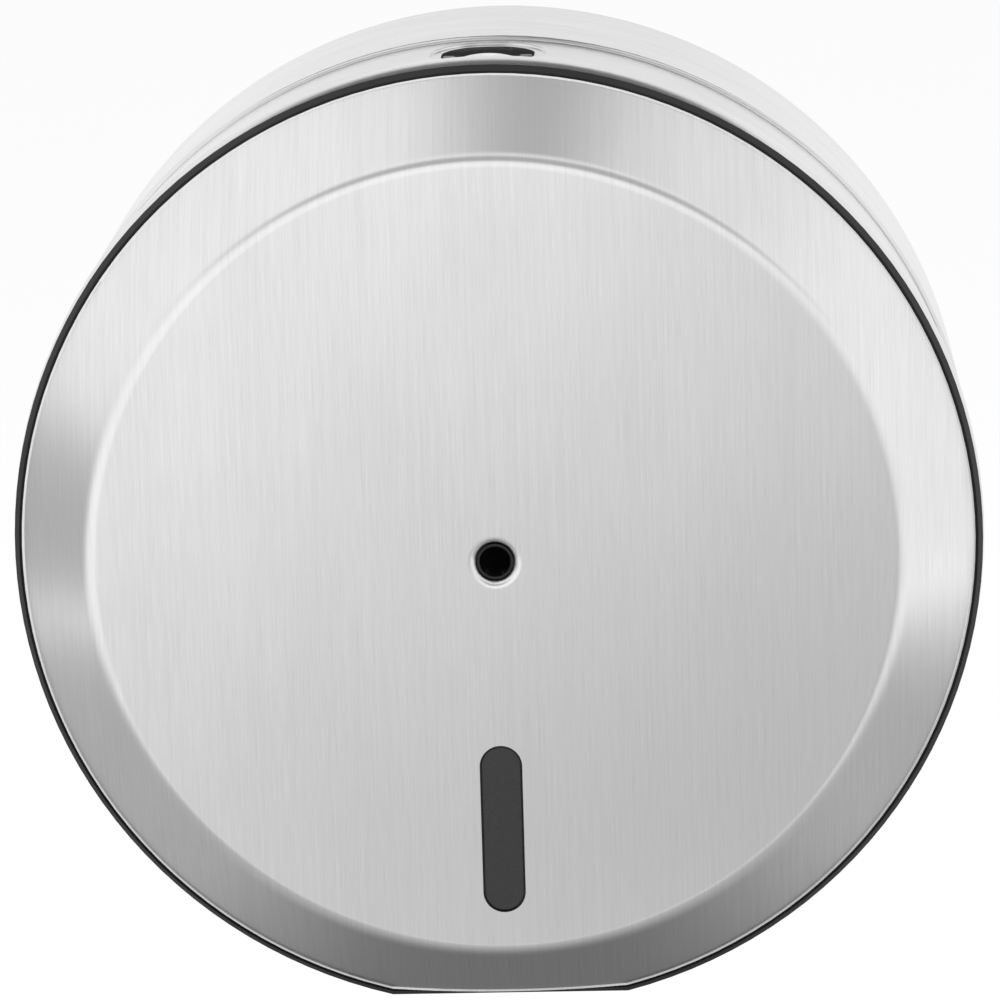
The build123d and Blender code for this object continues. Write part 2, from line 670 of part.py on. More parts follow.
# Black ring: slanted visible face, groove beside the plate's edge, seat behind the bevel
ring_land_flat = PLATE_FLAT + RING_GAP
ring_front_flat = ring_land_flat + RING_LAND
seat_flat = FOLD_FLAT - SEAT_SETBACK
with BuildPart() as ring_seat:
    extrude(body_outline(RING_BACK, FOLD_R, seat_flat), amount=FACE_DEPTH - RING_BACK)
    extrude(
        body_outline(RING_FLANGE_FRONT, RING_SEAT_R, seat_flat - RING_FLANGE_T),
        amount=FACE_DEPTH - RING_FLANGE_FRONT,
        mode=Mode.SUBTRACT,
    )
    extrude(disc_sketch(at_depth(RING_FLANGE_FRONT), rim_places, RING_BOSS_R), amount=FACE_DEPTH - RING_BACK)
    add(behind_bevel.part, mode=Mode.INTERSECT)

with BuildPart() as front_ring:
    extrude(body_outline(RING_BACK, RING_R, BODY_FLAT), amount=RING_SIDE)
    loft(
        sections=[
            body_outline(RING_BACK + RING_SIDE, RING_R, BODY_FLAT),
            body_outline(RIM_DEPTH, RING_FRONT_R, ring_front_flat),
        ],
        ruled=True,
    )
    extrude(
        body_outline(RING_GROOVE, RING_LAND_R, ring_land_flat),
        amount=FACE_DEPTH - RING_GROOVE,
        mode=Mode.SUBTRACT,
    )
    add(ring_seat.part)
    with BuildSketch(at_depth(RING_BACK)):
        Circle(BAND_FLANGE_R)
    extrude(amount=FACE_DEPTH - RING_BACK, mode=Mode.SUBTRACT)
    extrude(
        disc_sketch(at_depth(RING_BACK), rim_places, M4_R + STUD_PLAY),
        amount=FACE_DEPTH - RING_BACK,
        mode=Mode.SUBTRACT,
    )
finish(front_ring, "front_ring")

# Band of the cover, with its bead, return lip, front flange and the dished recess on top
recess_centre = (0, -RECESS_DEPTH)
dish_r = BAND_R - DISH_DROP
with BuildPart() as dish_floor:
    with BuildSketch(Plane.XY.offset(BAND_R / 2)):
        with Locations(recess_centre):
            RectangleRounded(
                RECESS_W + 2 * (DISH_W + SHEET),
                RECESS_L + 2 * (DISH_W + SHEET),
                RECESS_R + DISH_W + SHEET,
            )
    extrude(amount=BAND_R)
    extrude(
        disc_sketch(at_depth(SEAM_FRONT), on_axis, BAND_IN_R, dish_r - SHEET),
        amount=RING_BACK - SEAM_FRONT,
        mode=Mode.INTERSECT,
    )

with BuildPart() as dish_cut:
    with BuildSketch(Plane.XY.offset(BAND_R / 2)):
        with Locations(recess_centre):
            RectangleRounded(RECESS_W + 2 * DISH_W, RECESS_L + 2 * DISH_W, RECESS_R + DISH_W)
    extrude(amount=BAND_R)
    extrude(
        disc_sketch(at_depth(SEAM_FRONT), on_axis, 2 * BODY_R, dish_r),
        amount=RING_BACK - SEAM_FRONT,
        mode=Mode.INTERSECT,
    )
    fillet(dish_cut.faces().sort_by(Axis.Z)[0].edges(), DISH_ROUND)


def on_dish_rim(edge):
    """Whether an edge runs along the outer edge of the dished rim, on the band's outside."""
    reach = RECESS_W / 2 + 2 * DISH_W
    return all(
        vertex.Z > 0 and abs(vertex.X) < reach and abs(hypot(vertex.X, vertex.Z) - BAND_R) < DISH_ROUND / 10
        for vertex in edge.vertices()
    )


with BuildPart() as cover_band:
    with BuildSketch(TURNED):
        with BuildLine():
            FilletPolyline(
                (0, SEAM_FRONT),
                (BAND_R, SEAM_FRONT),
                (BAND_R, BEAD_START),
                (BEAD_R, BEAD_CREST_START),
                (BEAD_R, BEAD_CREST_END),
                (BEAD_FOOT_R, RING_BACK),
                (0, RING_BACK),
                radius=(BAND_EDGE_R, BEAD_ROUND, BEAD_ROUND, BEAD_CURVE_R, BEAD_FRONT_ROUND),
            )
            Line((0, RING_BACK), (0, SEAM_FRONT))
        make_face()
    revolve(axis=Axis.Y)
    split(bisect_by=Plane.XY.offset(-BODY_FLAT), keep=Keep.TOP)
    add(band_hollow.part, mode=Mode.SUBTRACT)
    extrude(body_outline(SEAM_FRONT, BAND_LIP_R, BODY_FLAT - FLAT_LIP_W), amount=SHEET, mode=Mode.SUBTRACT)
    with BuildSketch(at_depth(BAND_FLANGE_BACK)):
        Circle(BAND_FLANGE_R)
    extrude(amount=SHEET, mode=Mode.SUBTRACT)
    add(dish_floor.part)
    add(dish_cut.part, mode=Mode.SUBTRACT)
    fillet(cover_band.edges().filter_by(on_dish_rim), DISH_ROUND)
    with BuildSketch(Plane.XY.offset(BAND_R / 2)):
        with Locations(recess_centre):
            RectangleRounded(RECESS_W, RECESS_L, RECESS_R)
    extrude(amount=BAND_R, mode=Mode.SUBTRACT)
    extrude(
        disc_sketch(at_depth(BAND_FLANGE_BACK), rim_places, M4_R + STUD_PLAY),
        amount=SHEET,
        mode=Mode.SUBTRACT,
    )
    extrude(
        disc_sketch(
            Plane.XY.offset(-BODY_FLAT), [(x, cover_rivet_y) for x in leaf_rivet_x], RIVET_R + RIVET_PLAY
        ),
        amount=SHEET,
        mode=Mode.SUBTRACT,
    )
finish(cover_band, "cover_band")

# Studs on the bevel, through ring and flange, with their washers and nuts
with BuildPart() as rim_studs:
    extrude(disc_sketch(at_depth(RIM_STUD_END), rim_places, M4_R), amount=FACE_DEPTH - RIM_STUD_END)
    add(behind_bevel.part, mode=Mode.INTERSECT)
    chamfer(rim_studs.faces().group_by(Axis.Y)[-1].edges(), M4_R / 4)
finish(rim_studs, "rim_studs")

with BuildPart() as rim_washers:
    extrude(
        disc_sketch(
            at_depth(BAND_FLANGE_BACK - M4_WASHER_T), rim_places, M4_WASHER_R, M4_R + STUD_PLAY
        ),
        amount=M4_WASHER_T,
    )
finish(rim_washers, "rim_washers")

with BuildPart() as rim_nuts:
    extrude(
        nut_sketch(
            at_depth(BAND_FLANGE_BACK - M4_WASHER_T - M4_NUT_T), rim_places, M4_NUT_AF, M4_R + SEAT_GAP
        ),
        amount=M4_NUT_T,
    )
finish(rim_nuts, "rim_nuts")

# Nozzle: mouth in the paper hole, throat, funnel towards the roll, flange on the plateau's back
nozzle_flange_back = PLATEAU_BACK - NOZZLE_FLANGE_T
collar_out = NOZZLE_NECK_R - NECK_WALL
collar_back = FACE_DEPTH - PAPER_HOLE_DRAW - COLLAR_PLAY
tube_r = PAPER_HOLE_R - NOZZLE_PLAY
mouth_r = tube_r - MOUTH_LIP
funnel_middle = (
    (THROAT_R + FUNNEL_R) / 2 - FUNNEL_WALL,
    (THROAT_DEPTH + FUNNEL_DEPTH) / 2 - FUNNEL_WALL / 2,
)
small_stud_end = PLATEAU_BACK - SMALL_STUD_L
with BuildPart() as paper_nozzle:
    with BuildSketch(TURNED):
        with BuildLine():
            Line((mouth_r, NOZZLE_END), (THROAT_R, THROAT_DEPTH))
            ThreePointArc((THROAT_R, THROAT_DEPTH), funnel_middle, (FUNNEL_R, FUNNEL_DEPTH))
            Line((FUNNEL_R, FUNNEL_DEPTH), (FUNNEL_R + FUNNEL_WALL, FUNNEL_DEPTH))
            FilletPolyline(
                (FUNNEL_R + FUNNEL_WALL, FUNNEL_DEPTH),
                (FUNNEL_R + FUNNEL_WALL, FUNNEL_DEPTH + FUNNEL_WALL),
                (NOZZLE_NECK_R, THROAT_DEPTH - FUNNEL_WALL),
                (NOZZLE_NECK_R, nozzle_flange_back),
                (NOZZLE_FLANGE_R, nozzle_flange_back),
                radius=(FUNNEL_WALL / 2, FUNNEL_WALL, FUNNEL_WALL / 4),
            )
            Polyline(
                (NOZZLE_FLANGE_R, nozzle_flange_back),
                (NOZZLE_FLANGE_R, PLATEAU_BACK),
                (collar_out, PLATEAU_BACK),
                (collar_out, collar_back),
                (tube_r, collar_back),
                (tube_r, NOZZLE_END),
                (mouth_r, NOZZLE_END),
            )
        make_face()
    revolve(axis=Axis.Y)
    extrude(
        disc_sketch(at_depth(nozzle_flange_back), nozzle_places, SMALL_STUD_R + STUD_PLAY),
        amount=NOZZLE_FLANGE_T,
        mode=Mode.SUBTRACT,
    )
finish(paper_nozzle, "paper_nozzle")

with BuildPart() as nozzle_studs:
    extrude(disc_sketch(at_depth(small_stud_end), nozzle_places, SMALL_STUD_R), amount=SMALL_STUD_L)
finish(nozzle_studs, "nozzle_studs")

# Window: gasket on the plateau's back, lens with a raised pad in the slot
lens_front = PLATEAU_BACK - GASKET_T
lens_back = lens_front - LENS_FLANGE_T
flange_h = 2 * (window_stud_offset + LENS_END_LAND)
flange_w = WINDOW_W + 2 * LENS_LAND
with BuildPart() as window_gasket:
    extrude(slot_sketch(at_depth(lens_front), flange_h, flange_w, WINDOW_Z), amount=GASKET_T)
    extrude(
        slot_sketch(
            at_depth(lens_front), WINDOW_H + 2 * GASKET_LAND, WINDOW_W + 2 * GASKET_LAND, WINDOW_Z
        ),
        amount=GASKET_T,
        mode=Mode.SUBTRACT,
    )
    extrude(
        disc_sketch(at_depth(lens_front), window_places, SMALL_STUD_R + STUD_PLAY),
        amount=GASKET_T,
        mode=Mode.SUBTRACT,
    )
finish(window_gasket, "window_gasket")

with BuildPart() as window_lens:
    extrude(slot_sketch(at_depth(lens_back), flange_h, flange_w, WINDOW_Z), amount=LENS_FLANGE_T)
    extrude(
        slot_sketch(
            at_depth(lens_front), WINDOW_H - 2 * WINDOW_PLAY, WINDOW_W - 2 * WINDOW_PLAY, WINDOW_Z
        ),
        amount=FACE_DEPTH - LENS_RECESS - lens_front,
    )
    chamfer(window_lens.faces().sort_by(Axis.Y)[0].edges(), LENS_EDGE)
    extrude(
        disc_sketch(at_depth(lens_back), window_places, SMALL_STUD_R + STUD_PLAY),
        amount=LENS_FLANGE_T,
        mode=Mode.SUBTRACT,
    )
finish(window_lens, "window_lens")

with BuildPart() as window_studs:
    extrude(disc_sketch(at_depth(small_stud_end), window_places, SMALL_STUD_R), amount=SMALL_STUD_L)
finish(window_studs, "window_studs")


def push_nuts(places, seat_depth):
    """Crowned push nuts that sit behind a flange, their crowns gripping the studs."""
    bore = SMALL_STUD_R + SEAT_GAP
    shoulder = (bore + PUSH_NUT_R) / 2
    with BuildPart() as nuts:
        for x, z in places:
            nut_plane = Plane(origin=(x, -seat_depth, z), x_dir=(1, 0, 0), z_dir=(0, 0, -1))
            with BuildSketch(nut_plane):
                with BuildLine():
                    Polyline(
                        (PUSH_NUT_R, 0),
                        (PUSH_NUT_R, -PUSH_NUT_T),
                        (shoulder, -PUSH_NUT_T),
                        (bore, -PUSH_NUT_T - PUSH_NUT_CROWN),
                        (bore, -PUSH_NUT_CROWN),
                        (shoulder, 0),
                        close=True,
                    )
                make_face()
            revolve(axis=Axis((x, -seat_depth, z), (0, 1, 0)))
    return nuts


nozzle_push_nuts = push_nuts(nozzle_places, nozzle_flange_back)
finish(nozzle_push_nuts, "nozzle_push_nuts")

window_push_nuts = push_nuts(window_places, lens_back)
finish(window_push_nuts, "window_push_nuts")

# Latch housing: open box under the recess, hung from the band by two ears
housing_w = RECESS_W + 2 * HOUSING_WALL
housing_l = RECESS_L + 2 * HOUSING_WALL
ear_x = housing_w / 2 + EAR_REACH
boss_x = housing_w / 2 + BOSS_REACH
ear_places = [(side * ear_x, -RECESS_DEPTH) for side in (-1, 1)]
boss_places = [(side * boss_x, -RECESS_DEPTH) for side in (-1, 1)]
cheek_x = TAB_W / 2 + CHEEK_GAP + CHEEK_W / 2
cheek_places = [(side * cheek_x, TAB_T - TAB_DEPTH - CHEEK_L / 2) for side in (-1, 1)]
spring_places = [(side * SPRING_X, -RECESS_DEPTH) for side in (-1, 1)]
ear_bottom = EAR_TOP - EAR_T
pressed_floor = ARM_BOTTOM - LATCH_TRAVEL - SLIDE_PLAY
with BuildPart() as latch_housing:
    with BuildSketch(Plane.XY.offset(HOUSING_FLOOR)):
        with Locations(recess_centre):
            RectangleRounded(housing_w, housing_l, RECESS_R + HOUSING_WALL)
    extrude(amount=BAND_R - HOUSING_FLOOR)
    extrude(
        disc_sketch(at_depth(SEAM_FRONT), on_axis, dish_r - SHEET - SEAT_GAP),
        amount=RING_BACK - SEAM_FRONT,
        mode=Mode.INTERSECT,
    )
    with BuildSketch(Plane.XY.offset(ear_bottom)):
        with Locations(recess_centre):
            SlotCenterToCenter(2 * ear_x, 2 * EAR_R)
    extrude(amount=EAR_T)
    with BuildSketch(Plane.XY.offset(HOUSING_FLOOR)):
        with Locations(*boss_places):
            Circle(FLOOR_BOSS_R)
    extrude(amount=FLOOR_BOSS_H)
    with BuildSketch(Plane.XY.offset(HOUSING_FLOOR)):
        with Locations(recess_centre):
            RectangleRounded(RECESS_W, RECESS_L, RECESS_R)
    extrude(amount=BAND_R, mode=Mode.SUBTRACT)
    extrude(
        disc_sketch(Plane.XY.offset(HOUSING_FLOOR), boss_places, BOSS_BORE_R),
        amount=FLOOR_BOSS_H - HOUSING_WALL,
        mode=Mode.SUBTRACT,
    )
    extrude(
        disc_sketch(Plane.XY.offset(ear_bottom), ear_places, M3_R + STUD_PLAY),
        amount=EAR_T,
        mode=Mode.SUBTRACT,
    )
    # Slot in the rear wall for the arm, over its whole travel
    with BuildSketch(Plane.XY.offset(pressed_floor)):
        with Locations((0, -RECESS_REAR + HOUSING_WALL / 2)):
            Rectangle(ARM_W + 2 * SLIDE_PLAY, 2 * HOUSING_WALL)
    extrude(amount=ARM_TOP + SLIDE_PLAY - pressed_floor, mode=Mode.SUBTRACT)
finish(latch_housing, "latch_housing")

with BuildPart() as latch_floor:
    with BuildSketch(Plane.XY.offset(HOUSING_FLOOR - FLOOR_T)):
        with Locations(recess_centre):
            RectangleRounded(housing_w, housing_l, RECESS_R + HOUSING_WALL)
            SlotCenterToCenter(2 * boss_x, 2 * FLOOR_BOSS_R)
    extrude(amount=FLOOR_T)
    extrude(
        disc_sketch(
            Plane.XY.offset(HOUSING_FLOOR), spring_places, SPRING_R - SPRING_WIRE / 2 - POCKET_PLAY
        ),
        amount=FLOOR_T,
    )
    extrude(
        disc_sketch(Plane.XY.offset(HOUSING_FLOOR - FLOOR_T), boss_places, FLOOR_SCREW_R + STUD_PLAY),
        amount=FLOOR_T,
        mode=Mode.SUBTRACT,
    )
finish(latch_floor, "latch_floor")

with BuildPart() as latch_floor_screws:
    extrude(
        disc_sketch(
            Plane.XY.offset(HOUSING_FLOOR - FLOOR_T - FLOOR_SCREW_HEAD_T), boss_places, FLOOR_SCREW_HEAD_R
        ),
        amount=FLOOR_SCREW_HEAD_T,
    )
    chamfer(latch_floor_screws.faces().group_by(Axis.Z)[0].edges(), FLOOR_SCREW_HEAD_T / 4)
    extrude(
        disc_sketch(Plane.XY.offset(HOUSING_FLOOR - FLOOR_T), boss_places, FLOOR_SCREW_R),
        amount=FLOOR_SCREW_L,
    )
    with BuildSketch(Plane.XY.offset(HOUSING_FLOOR - FLOOR_T - FLOOR_SCREW_HEAD_T)):
        with Locations(*boss_places):
            Rectangle(DRIVE_L, DRIVE_W)
            Rectangle(DRIVE_W, DRIVE_L)
    extrude(amount=DRIVE_DEPTH, mode=Mode.SUBTRACT)
finish(latch_floor_screws, "latch_floor_screws")

with BuildPart() as latch_housing_studs:
    stud_foot = ear_bottom - M3_WASHER_T - M3_NUT_T - STUD_STANDOUT
    extrude(disc_sketch(Plane.XY.offset(stud_foot), ear_places, M3_R), amount=BAND_R - stud_foot)
    extrude(
        disc_sketch(at_depth(SEAM_FRONT), on_axis, BAND_IN_R - SEAT_GAP),
        amount=RING_BACK - SEAM_FRONT,
        mode=Mode.INTERSECT,
    )
finish(latch_housing_studs, "latch_housing_studs")

with BuildPart() as latch_housing_washers:
    extrude(
        disc_sketch(Plane.XY.offset(ear_bottom - M3_WASHER_T), ear_places, M3_WASHER_R, M3_R + STUD_PLAY),
        amount=M3_WASHER_T,
    )
finish(latch_housing_washers, "latch_housing_washers")

with BuildPart() as latch_housing_nuts:
    extrude(
        nut_sketch(
            Plane.XY.offset(ear_bottom - M3_WASHER_T - M3_NUT_T), ear_places, M3_NUT_AF, M3_R + SEAT_GAP
        ),
        amount=M3_NUT_T,
    )
finish(latch_housing_nuts, "latch_housing_nuts")

# Slider: block in the housing, arm through its rear wall, hook behind the strike
hook_front = STRIKE_REAR - HOOK_PLAY
hook_rear = hook_front - HOOK_T
foot_edge = SLIDE_PLAY + TAB_SETBACK
tab_foot_middle = TAB_DEPTH + TAB_FOOT_L / 2
rivet_places = [(side * TAB_RIVET_X, -tab_foot_middle) for side in (-1, 1)]
tab_rivet_l = SLIDER_H / 2
with BuildPart() as latch_slider:
    with BuildSketch(Plane.XY.offset(SLIDER_BOTTOM)):
        with Locations(recess_centre):
            RectangleRounded(RECESS_W - 2 * SLIDE_PLAY, RECESS_L - 2 * SLIDE_PLAY, RECESS_R - SLIDE_PLAY)
    extrude(amount=SLIDER_H)
    chamfer(latch_slider.faces().sort_by(Axis.Z)[-1].edges(), SLIDE_PLAY)
    with BuildSketch(Plane.XY.offset(SLIDER_TOP)):
        with Locations(*cheek_places):
            Rectangle(CHEEK_W, CHEEK_L)
        with Locations(recess_centre):
            RectangleRounded(
                RECESS_W - 2 * foot_edge, RECESS_L - 2 * foot_edge, RECESS_R - foot_edge, mode=Mode.INTERSECT
            )
    extrude(amount=CHEEK_TOP - SLIDER_TOP)
    fillet(latch_slider.faces().group_by(Axis.Z)[-1].edges(), CHEEK_ROUND)
    with BuildSketch(Plane.YZ):
        with BuildLine():
            Polyline(
                (-RECESS_DEPTH, ARM_BOTTOM),
                (-hook_rear, ARM_BOTTOM),
                (-hook_rear, ARM_TOP),
                (-hook_rear - HOOK_LEAD, ARM_TOP + HOOK_RISE),
                (-hook_front, ARM_TOP + HOOK_RISE),
                (-hook_front, ARM_TOP),
                (-RECESS_DEPTH, ARM_TOP),
                close=True,
            )
        make_face()
    extrude(amount=ARM_W / 2, both=True)
    extrude(
        disc_sketch(
            Plane.XY.offset(SLIDER_BOTTOM), spring_places, SPRING_R + SPRING_WIRE / 2 + POCKET_PLAY
        ),
        amount=POCKET_H,
        mode=Mode.SUBTRACT,
    )
    extrude(
        disc_sketch(Plane.XY.offset(SLIDER_TOP - tab_rivet_l), rivet_places, BOSS_BORE_R),
        amount=tab_rivet_l,
        mode=Mode.SUBTRACT,
    )
finish(latch_slider, "latch_slider")


def tab_outline(depth, top, foot):
    """Outline of the tab seen from the front, arched at its top."""
    with BuildSketch(at_depth(depth)) as outline:
        with BuildLine():
            side = top - TAB_ARCH
            Polyline((TAB_W / 2, side), (TAB_W / 2, foot), (-TAB_W / 2, foot), (-TAB_W / 2, side))
            ThreePointArc((-TAB_W / 2, side), (0, top), (TAB_W / 2, side))
        make_face()
    return outline.sketch


# Tab: foot on the slider, upright wall, and an arched cap that reaches forward over the foot
with BuildPart() as release_tab:
    extrude(tab_outline(TAB_DEPTH - TAB_T, TAB_TOP, SLIDER_TOP), amount=TAB_T + TAB_FOOT_L)
    fillet(release_tab.faces().sort_by(Axis.Y)[-1].edges().sort_by(Axis.Z)[-1], TAB_EDGE_R)
    extrude(
        tab_outline(TAB_DEPTH, TAB_TOP - TAB_T, SLIDER_TOP + TAB_T), amount=TAB_FOOT_L, mode=Mode.SUBTRACT
    )
    with BuildSketch(Plane.XY.offset(SLIDER_TOP)):
        with Locations(recess_centre):
            RectangleRounded(RECESS_W - 2 * foot_edge, RECESS_L - 2 * foot_edge, RECESS_R - foot_edge)
    extrude(amount=BODY_R - SLIDER_TOP, mode=Mode.INTERSECT)
    extrude(
        disc_sketch(Plane.XY.offset(SLIDER_TOP), rivet_places, BOSS_BORE_R),
        amount=TAB_T,
        mode=Mode.SUBTRACT,
    )
finish(release_tab, "release_tab")

with BuildPart() as tab_rivets:
    extrude(
        disc_sketch(Plane.XY.offset(SLIDER_TOP + TAB_T), rivet_places, FLOOR_SCREW_HEAD_R),
        amount=RIVET_TAIL_T,
    )
    fillet(tab_rivets.faces().group_by(Axis.Z)[-1].edges(), RIVET_TAIL_T / 2)
    extrude(
        disc_sketch(Plane.XY.offset(SLIDER_TOP - tab_rivet_l + SEAT_GAP), rivet_places, FLOOR_SCREW_R),
        amount=tab_rivet_l - SEAT_GAP + TAB_T,
    )
finish(tab_rivets, "tab_rivets")


def arc_pair(start, start_way, end, end_way):
    """Two arcs that leave start and reach end along the given directions."""
    gap = end - start
    both_ways = start_way + end_way
    spread = 2 * (1 - start_way.dot(end_way))
    reach = (sqrt(gap.dot(both_ways) ** 2 + spread * gap.dot(gap)) - gap.dot(both_ways)) / spread
    first_knee = start + start_way * reach
    second_knee = end - end_way * reach
    middle = (first_knee + second_knee) * 0.5
    TangentArc(start, middle, tangent=start_way)
    TangentArc(middle, end, tangent=(second_knee - first_knee).normalized())


def latch_spring(side):
    """Unbroken coil between the floor plate and the slider's pocket."""
    low = HOUSING_FLOOR + SPRING_SEAT_GAP + SPRING_WIRE / 2
    high = POCKET_TOP - SPRING_SEAT_GAP - SPRING_WIRE / 2
    steps = 4 * SPRING_TURNS
    points = []
    ways = []
    for i in range(steps + 1):
        turn = 2 * pi * i / 4
        points.append(
            Vector(
                side * SPRING_X + SPRING_R * cos(turn),
                -RECESS_DEPTH + SPRING_R * sin(turn),
                low + (high - low) * i / steps,
            )
        )
        rise = (high - low) / steps / (pi / 2)
        ways.append(Vector(-SPRING_R * sin(turn), SPRING_R * cos(turn), rise).normalized())
    with BuildPart() as spring:
        with BuildLine() as wire:
            Line(points[0] - ways[0] * SPRING_WIRE, points[0])
            for i in range(steps):
                arc_pair(points[i], ways[i], points[i + 1], ways[i + 1])
            Line(points[-1], points[-1] + ways[-1] * SPRING_WIRE)
        with BuildSketch(Plane(origin=points[0] - ways[0] * SPRING_WIRE, z_dir=ways[0])):
            Circle(SPRING_WIRE / 2)
        sweep(path=wire.line)
    pitch = (high - low) / SPRING_TURNS
    print("latch spring: least gap between turns", round(pitch - SPRING_WIRE, 3), "mm")
    return spring


latch_spring_left = latch_spring(-1)
finish(latch_spring_left, "latch_spring_left")

latch_spring_right = latch_spring(1)
finish(latch_spring_right, "latch_spring_right")
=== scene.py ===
"""Wall-mounted centre pull dispenser in brushed steel: the finish of every part, the studio and the camera."""
import math
import bpy
from bpy.props import FloatProperty, FloatVectorProperty, PointerProperty
from mathutils import Matrix, Vector

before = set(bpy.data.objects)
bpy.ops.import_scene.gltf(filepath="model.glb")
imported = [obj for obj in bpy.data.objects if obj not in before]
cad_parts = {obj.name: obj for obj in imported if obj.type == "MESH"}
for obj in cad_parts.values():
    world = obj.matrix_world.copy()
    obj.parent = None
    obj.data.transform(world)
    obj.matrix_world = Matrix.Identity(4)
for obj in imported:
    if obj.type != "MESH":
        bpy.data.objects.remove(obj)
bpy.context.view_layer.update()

bl_info = {
    "name": "Centre pull dispenser",
    "version": (1, 0, 0),
    "blender": (4, 5, 0),
    "location": "View3D > Sidebar > Dispenser",
    "description": "Finishes, studio and camera of a round dispenser in brushed steel",
    "category": "Object",
}

MM = 0.001
FORWARD = (0.0, -1.0, 0.0)

# Camera: its directions to the right, up and back, its place in metres, its lens and sensor in millimetres
CAMERA_RIGHT = (0.9990426, 0.0333108, -0.0283598)
CAMERA_UP = (0.0201257, 0.2256364, 0.9740037)
CAMERA_BACK = (0.0388438, -0.9736419, 0.2247500)
CAMERA_PLACE = (0.0578137, -1.5411114, 0.3412032)
CAMERA_LENS = 189.67
CAMERA_SENSOR = 36.0

# Front of the plate in millimetres, for the exact normals of plateau, bend and bevel
PLATEAU_START = 20.0         # radius outside the drawn edge of the paper hole
BEND_START = 109.47          # radius where the plateau ends
BEND_RADIUS = 6.5            # outside of the curve from plateau to bevel
BEVEL_SINE = 0.6953          # sine of the bevel's slope
BEVEL_END = 131.4            # radius where the fold into the lip starts
BEVEL_FOOT = -127.4          # lowest height, over the straight edge at the foot
FRONT_FACING = 0.5           # least part of a face's normal that points forward

# What the noise of each finish does to its colour, as factors at the dark and the light end
STEEL_TONES = (0.91, 1.10)
PLASTIC_TONES = (0.82, 1.2)
METAL_TONES = (0.86, 1.06)
LENS_TONES = (0.9, 1.12)

# What the same noise does to the roughness, as factors at the dark and the light end
STEEL_SHEEN = (1.12, 0.9)
PLASTIC_SHEEN = (1.15, 0.85)
METAL_SHEEN = (1.25, 0.8)

# Roughness of the body's sheet and stretch of its highlights, as shares of the plate's
BODY_ROUGHNESS = 0.75
BODY_STRETCH = 0.8

# Roughness of the smoked window from one ripple to the next, and how much light it lets through
LENS_ROUGHNESS = (0.14, 0.2)
LENS_CLEARNESS = 0.3

# Index of refraction of smooth and of satin plastic
SMOOTH_IOR = 1.49
SATIN_IOR = 1.36

# Threads: axis that they run along, as 1 for Y and 2 for Z, and pitch in millimetres
THREAD_LARGE = (1, 0.7)      # studs of cradle and rim
THREAD_SMALL = (1, 0.45)     # studs of nozzle and window
THREAD_UPRIGHT = (2, 0.5)    # studs and screws of the latch housing
THREAD_DEPTH = 0.25          # share of the pitch

# Colours of the small parts, and the factors that warm the lighter tone of some
RUBBER_COLOUR = (0.02, 0.02, 0.02)
TAB_COLOUR = (0.78, 0.78, 0.78)
SPRING_COLOUR = (0.42, 0.42, 0.43)
SPRING_WARMTH = (1.06, 1.0, 0.92)
ZINC_COLOUR = (0.56, 0.57, 0.58)
ZINC_WARMTH = (1.04, 1.0, 0.94)
HINGE_COLOUR = (0.62, 0.62, 0.62)
RIVET_COLOUR = (0.72, 0.72, 0.73)

# Soft-edged studio panels: place, point that they face, size across and along, grey level, and share of the
# half width that fades out. Each faces a point straight below, above or beside it, so that its edges stay
# in line with the dispenser.
PANELS = {
    "panel_top": ((0.07, -0.24, 0.72), (0.07, -0.24, 0.0), (0.40, 0.90), 0.16, 0.80),
    "panel_top_right": ((0.62, -0.24, 0.73), (0.62, -0.24, 0.0), (0.90, 0.90), 0.86, 0.75),
    "panel_front": ((0.10, -1.15, 0.76), (0.10, -1.15, 0.0), (2.20, 1.20), 0.40, 0.40),
    "panel_back": ((0.00, 0.50, 0.74), (0.00, 0.50, 0.0), (1.60, 1.00), 0.12, 0.35),
    "panel_bottom": ((0.00, 0.00, -0.40), (0.00, 0.00, 0.0), (0.68, 1.20), 0.17, 0.75),
    "panel_low": ((-0.08, 0.00, -0.44), (-0.08, 0.00, 0.0), (3.00, 2.60), 0.48, 0.50),
    "panel_left": ((-1.30, 0.00, -0.13), (0.0, 0.00, -0.13), (2.40, 0.76), 0.45, 0.5),
}

# Upright screen that the flat front mirrors, with the point that it faces
SCREEN_PLACE = (0.0, -1.1, -0.04)
SCREEN_AIM = (0.0, 0.0, -0.04)
SCREEN_SIZE = (3.0, 0.8)

# The screen's light falls along a slope and rises again at one end: direction in which it grows, grey levels,
# and where along the direction they start and end. The screen reaches from -1 to 1 both ways.
FALL_SLOPE = (1.95, 0.66, 0.0)
FALL_LEVELS = (0.25, 1.10)
FALL_REACH = (-0.72, 0.13)
RISE_SLOPE = (-1.0, 0.0, 0.0)
RISE_LEVELS = (0.25, 0.95)
RISE_REACH = (0.20, 0.43)

# Places of the lamps, and the middle of the dispenser, which they face
LAMPS = {"lamp_left": (-1.15, -0.65, 0.95), "lamp_right": (1.15, -0.65, 0.95)}
MIDDLE = (0.0, -0.11, 0.0)

# Floor: half width, grey level, and the glow that is added where it is looked at or mirrored
FLOOR_HALF = 9.0
FLOOR_LEVEL = 0.82
FLOOR_GLOW = 0.35


# Nodes

def set_sockets(node, values):
    """Sets or links the inputs of a node, by name or number."""
    for name, value in values.items():
        if isinstance(value, bpy.types.NodeSocket):
            node.id_data.links.new(value, node.inputs[name])
        else:
            node.inputs[name].default_value = value


def add_node(tree, kind, inputs=None, **settings):
    """Adds a node, sets its properties, and sets or links its inputs."""
    made = tree.nodes.new("ShaderNode" + kind)
    for name, value in settings.items():
        setattr(made, name, value)
    set_sockets(made, inputs or {})
    return made


def empty_tree(owner):
    """The node tree of a material or a world, with nothing in it."""
    owner.use_nodes = True
    owner.node_tree.nodes.clear()
    return owner.node_tree


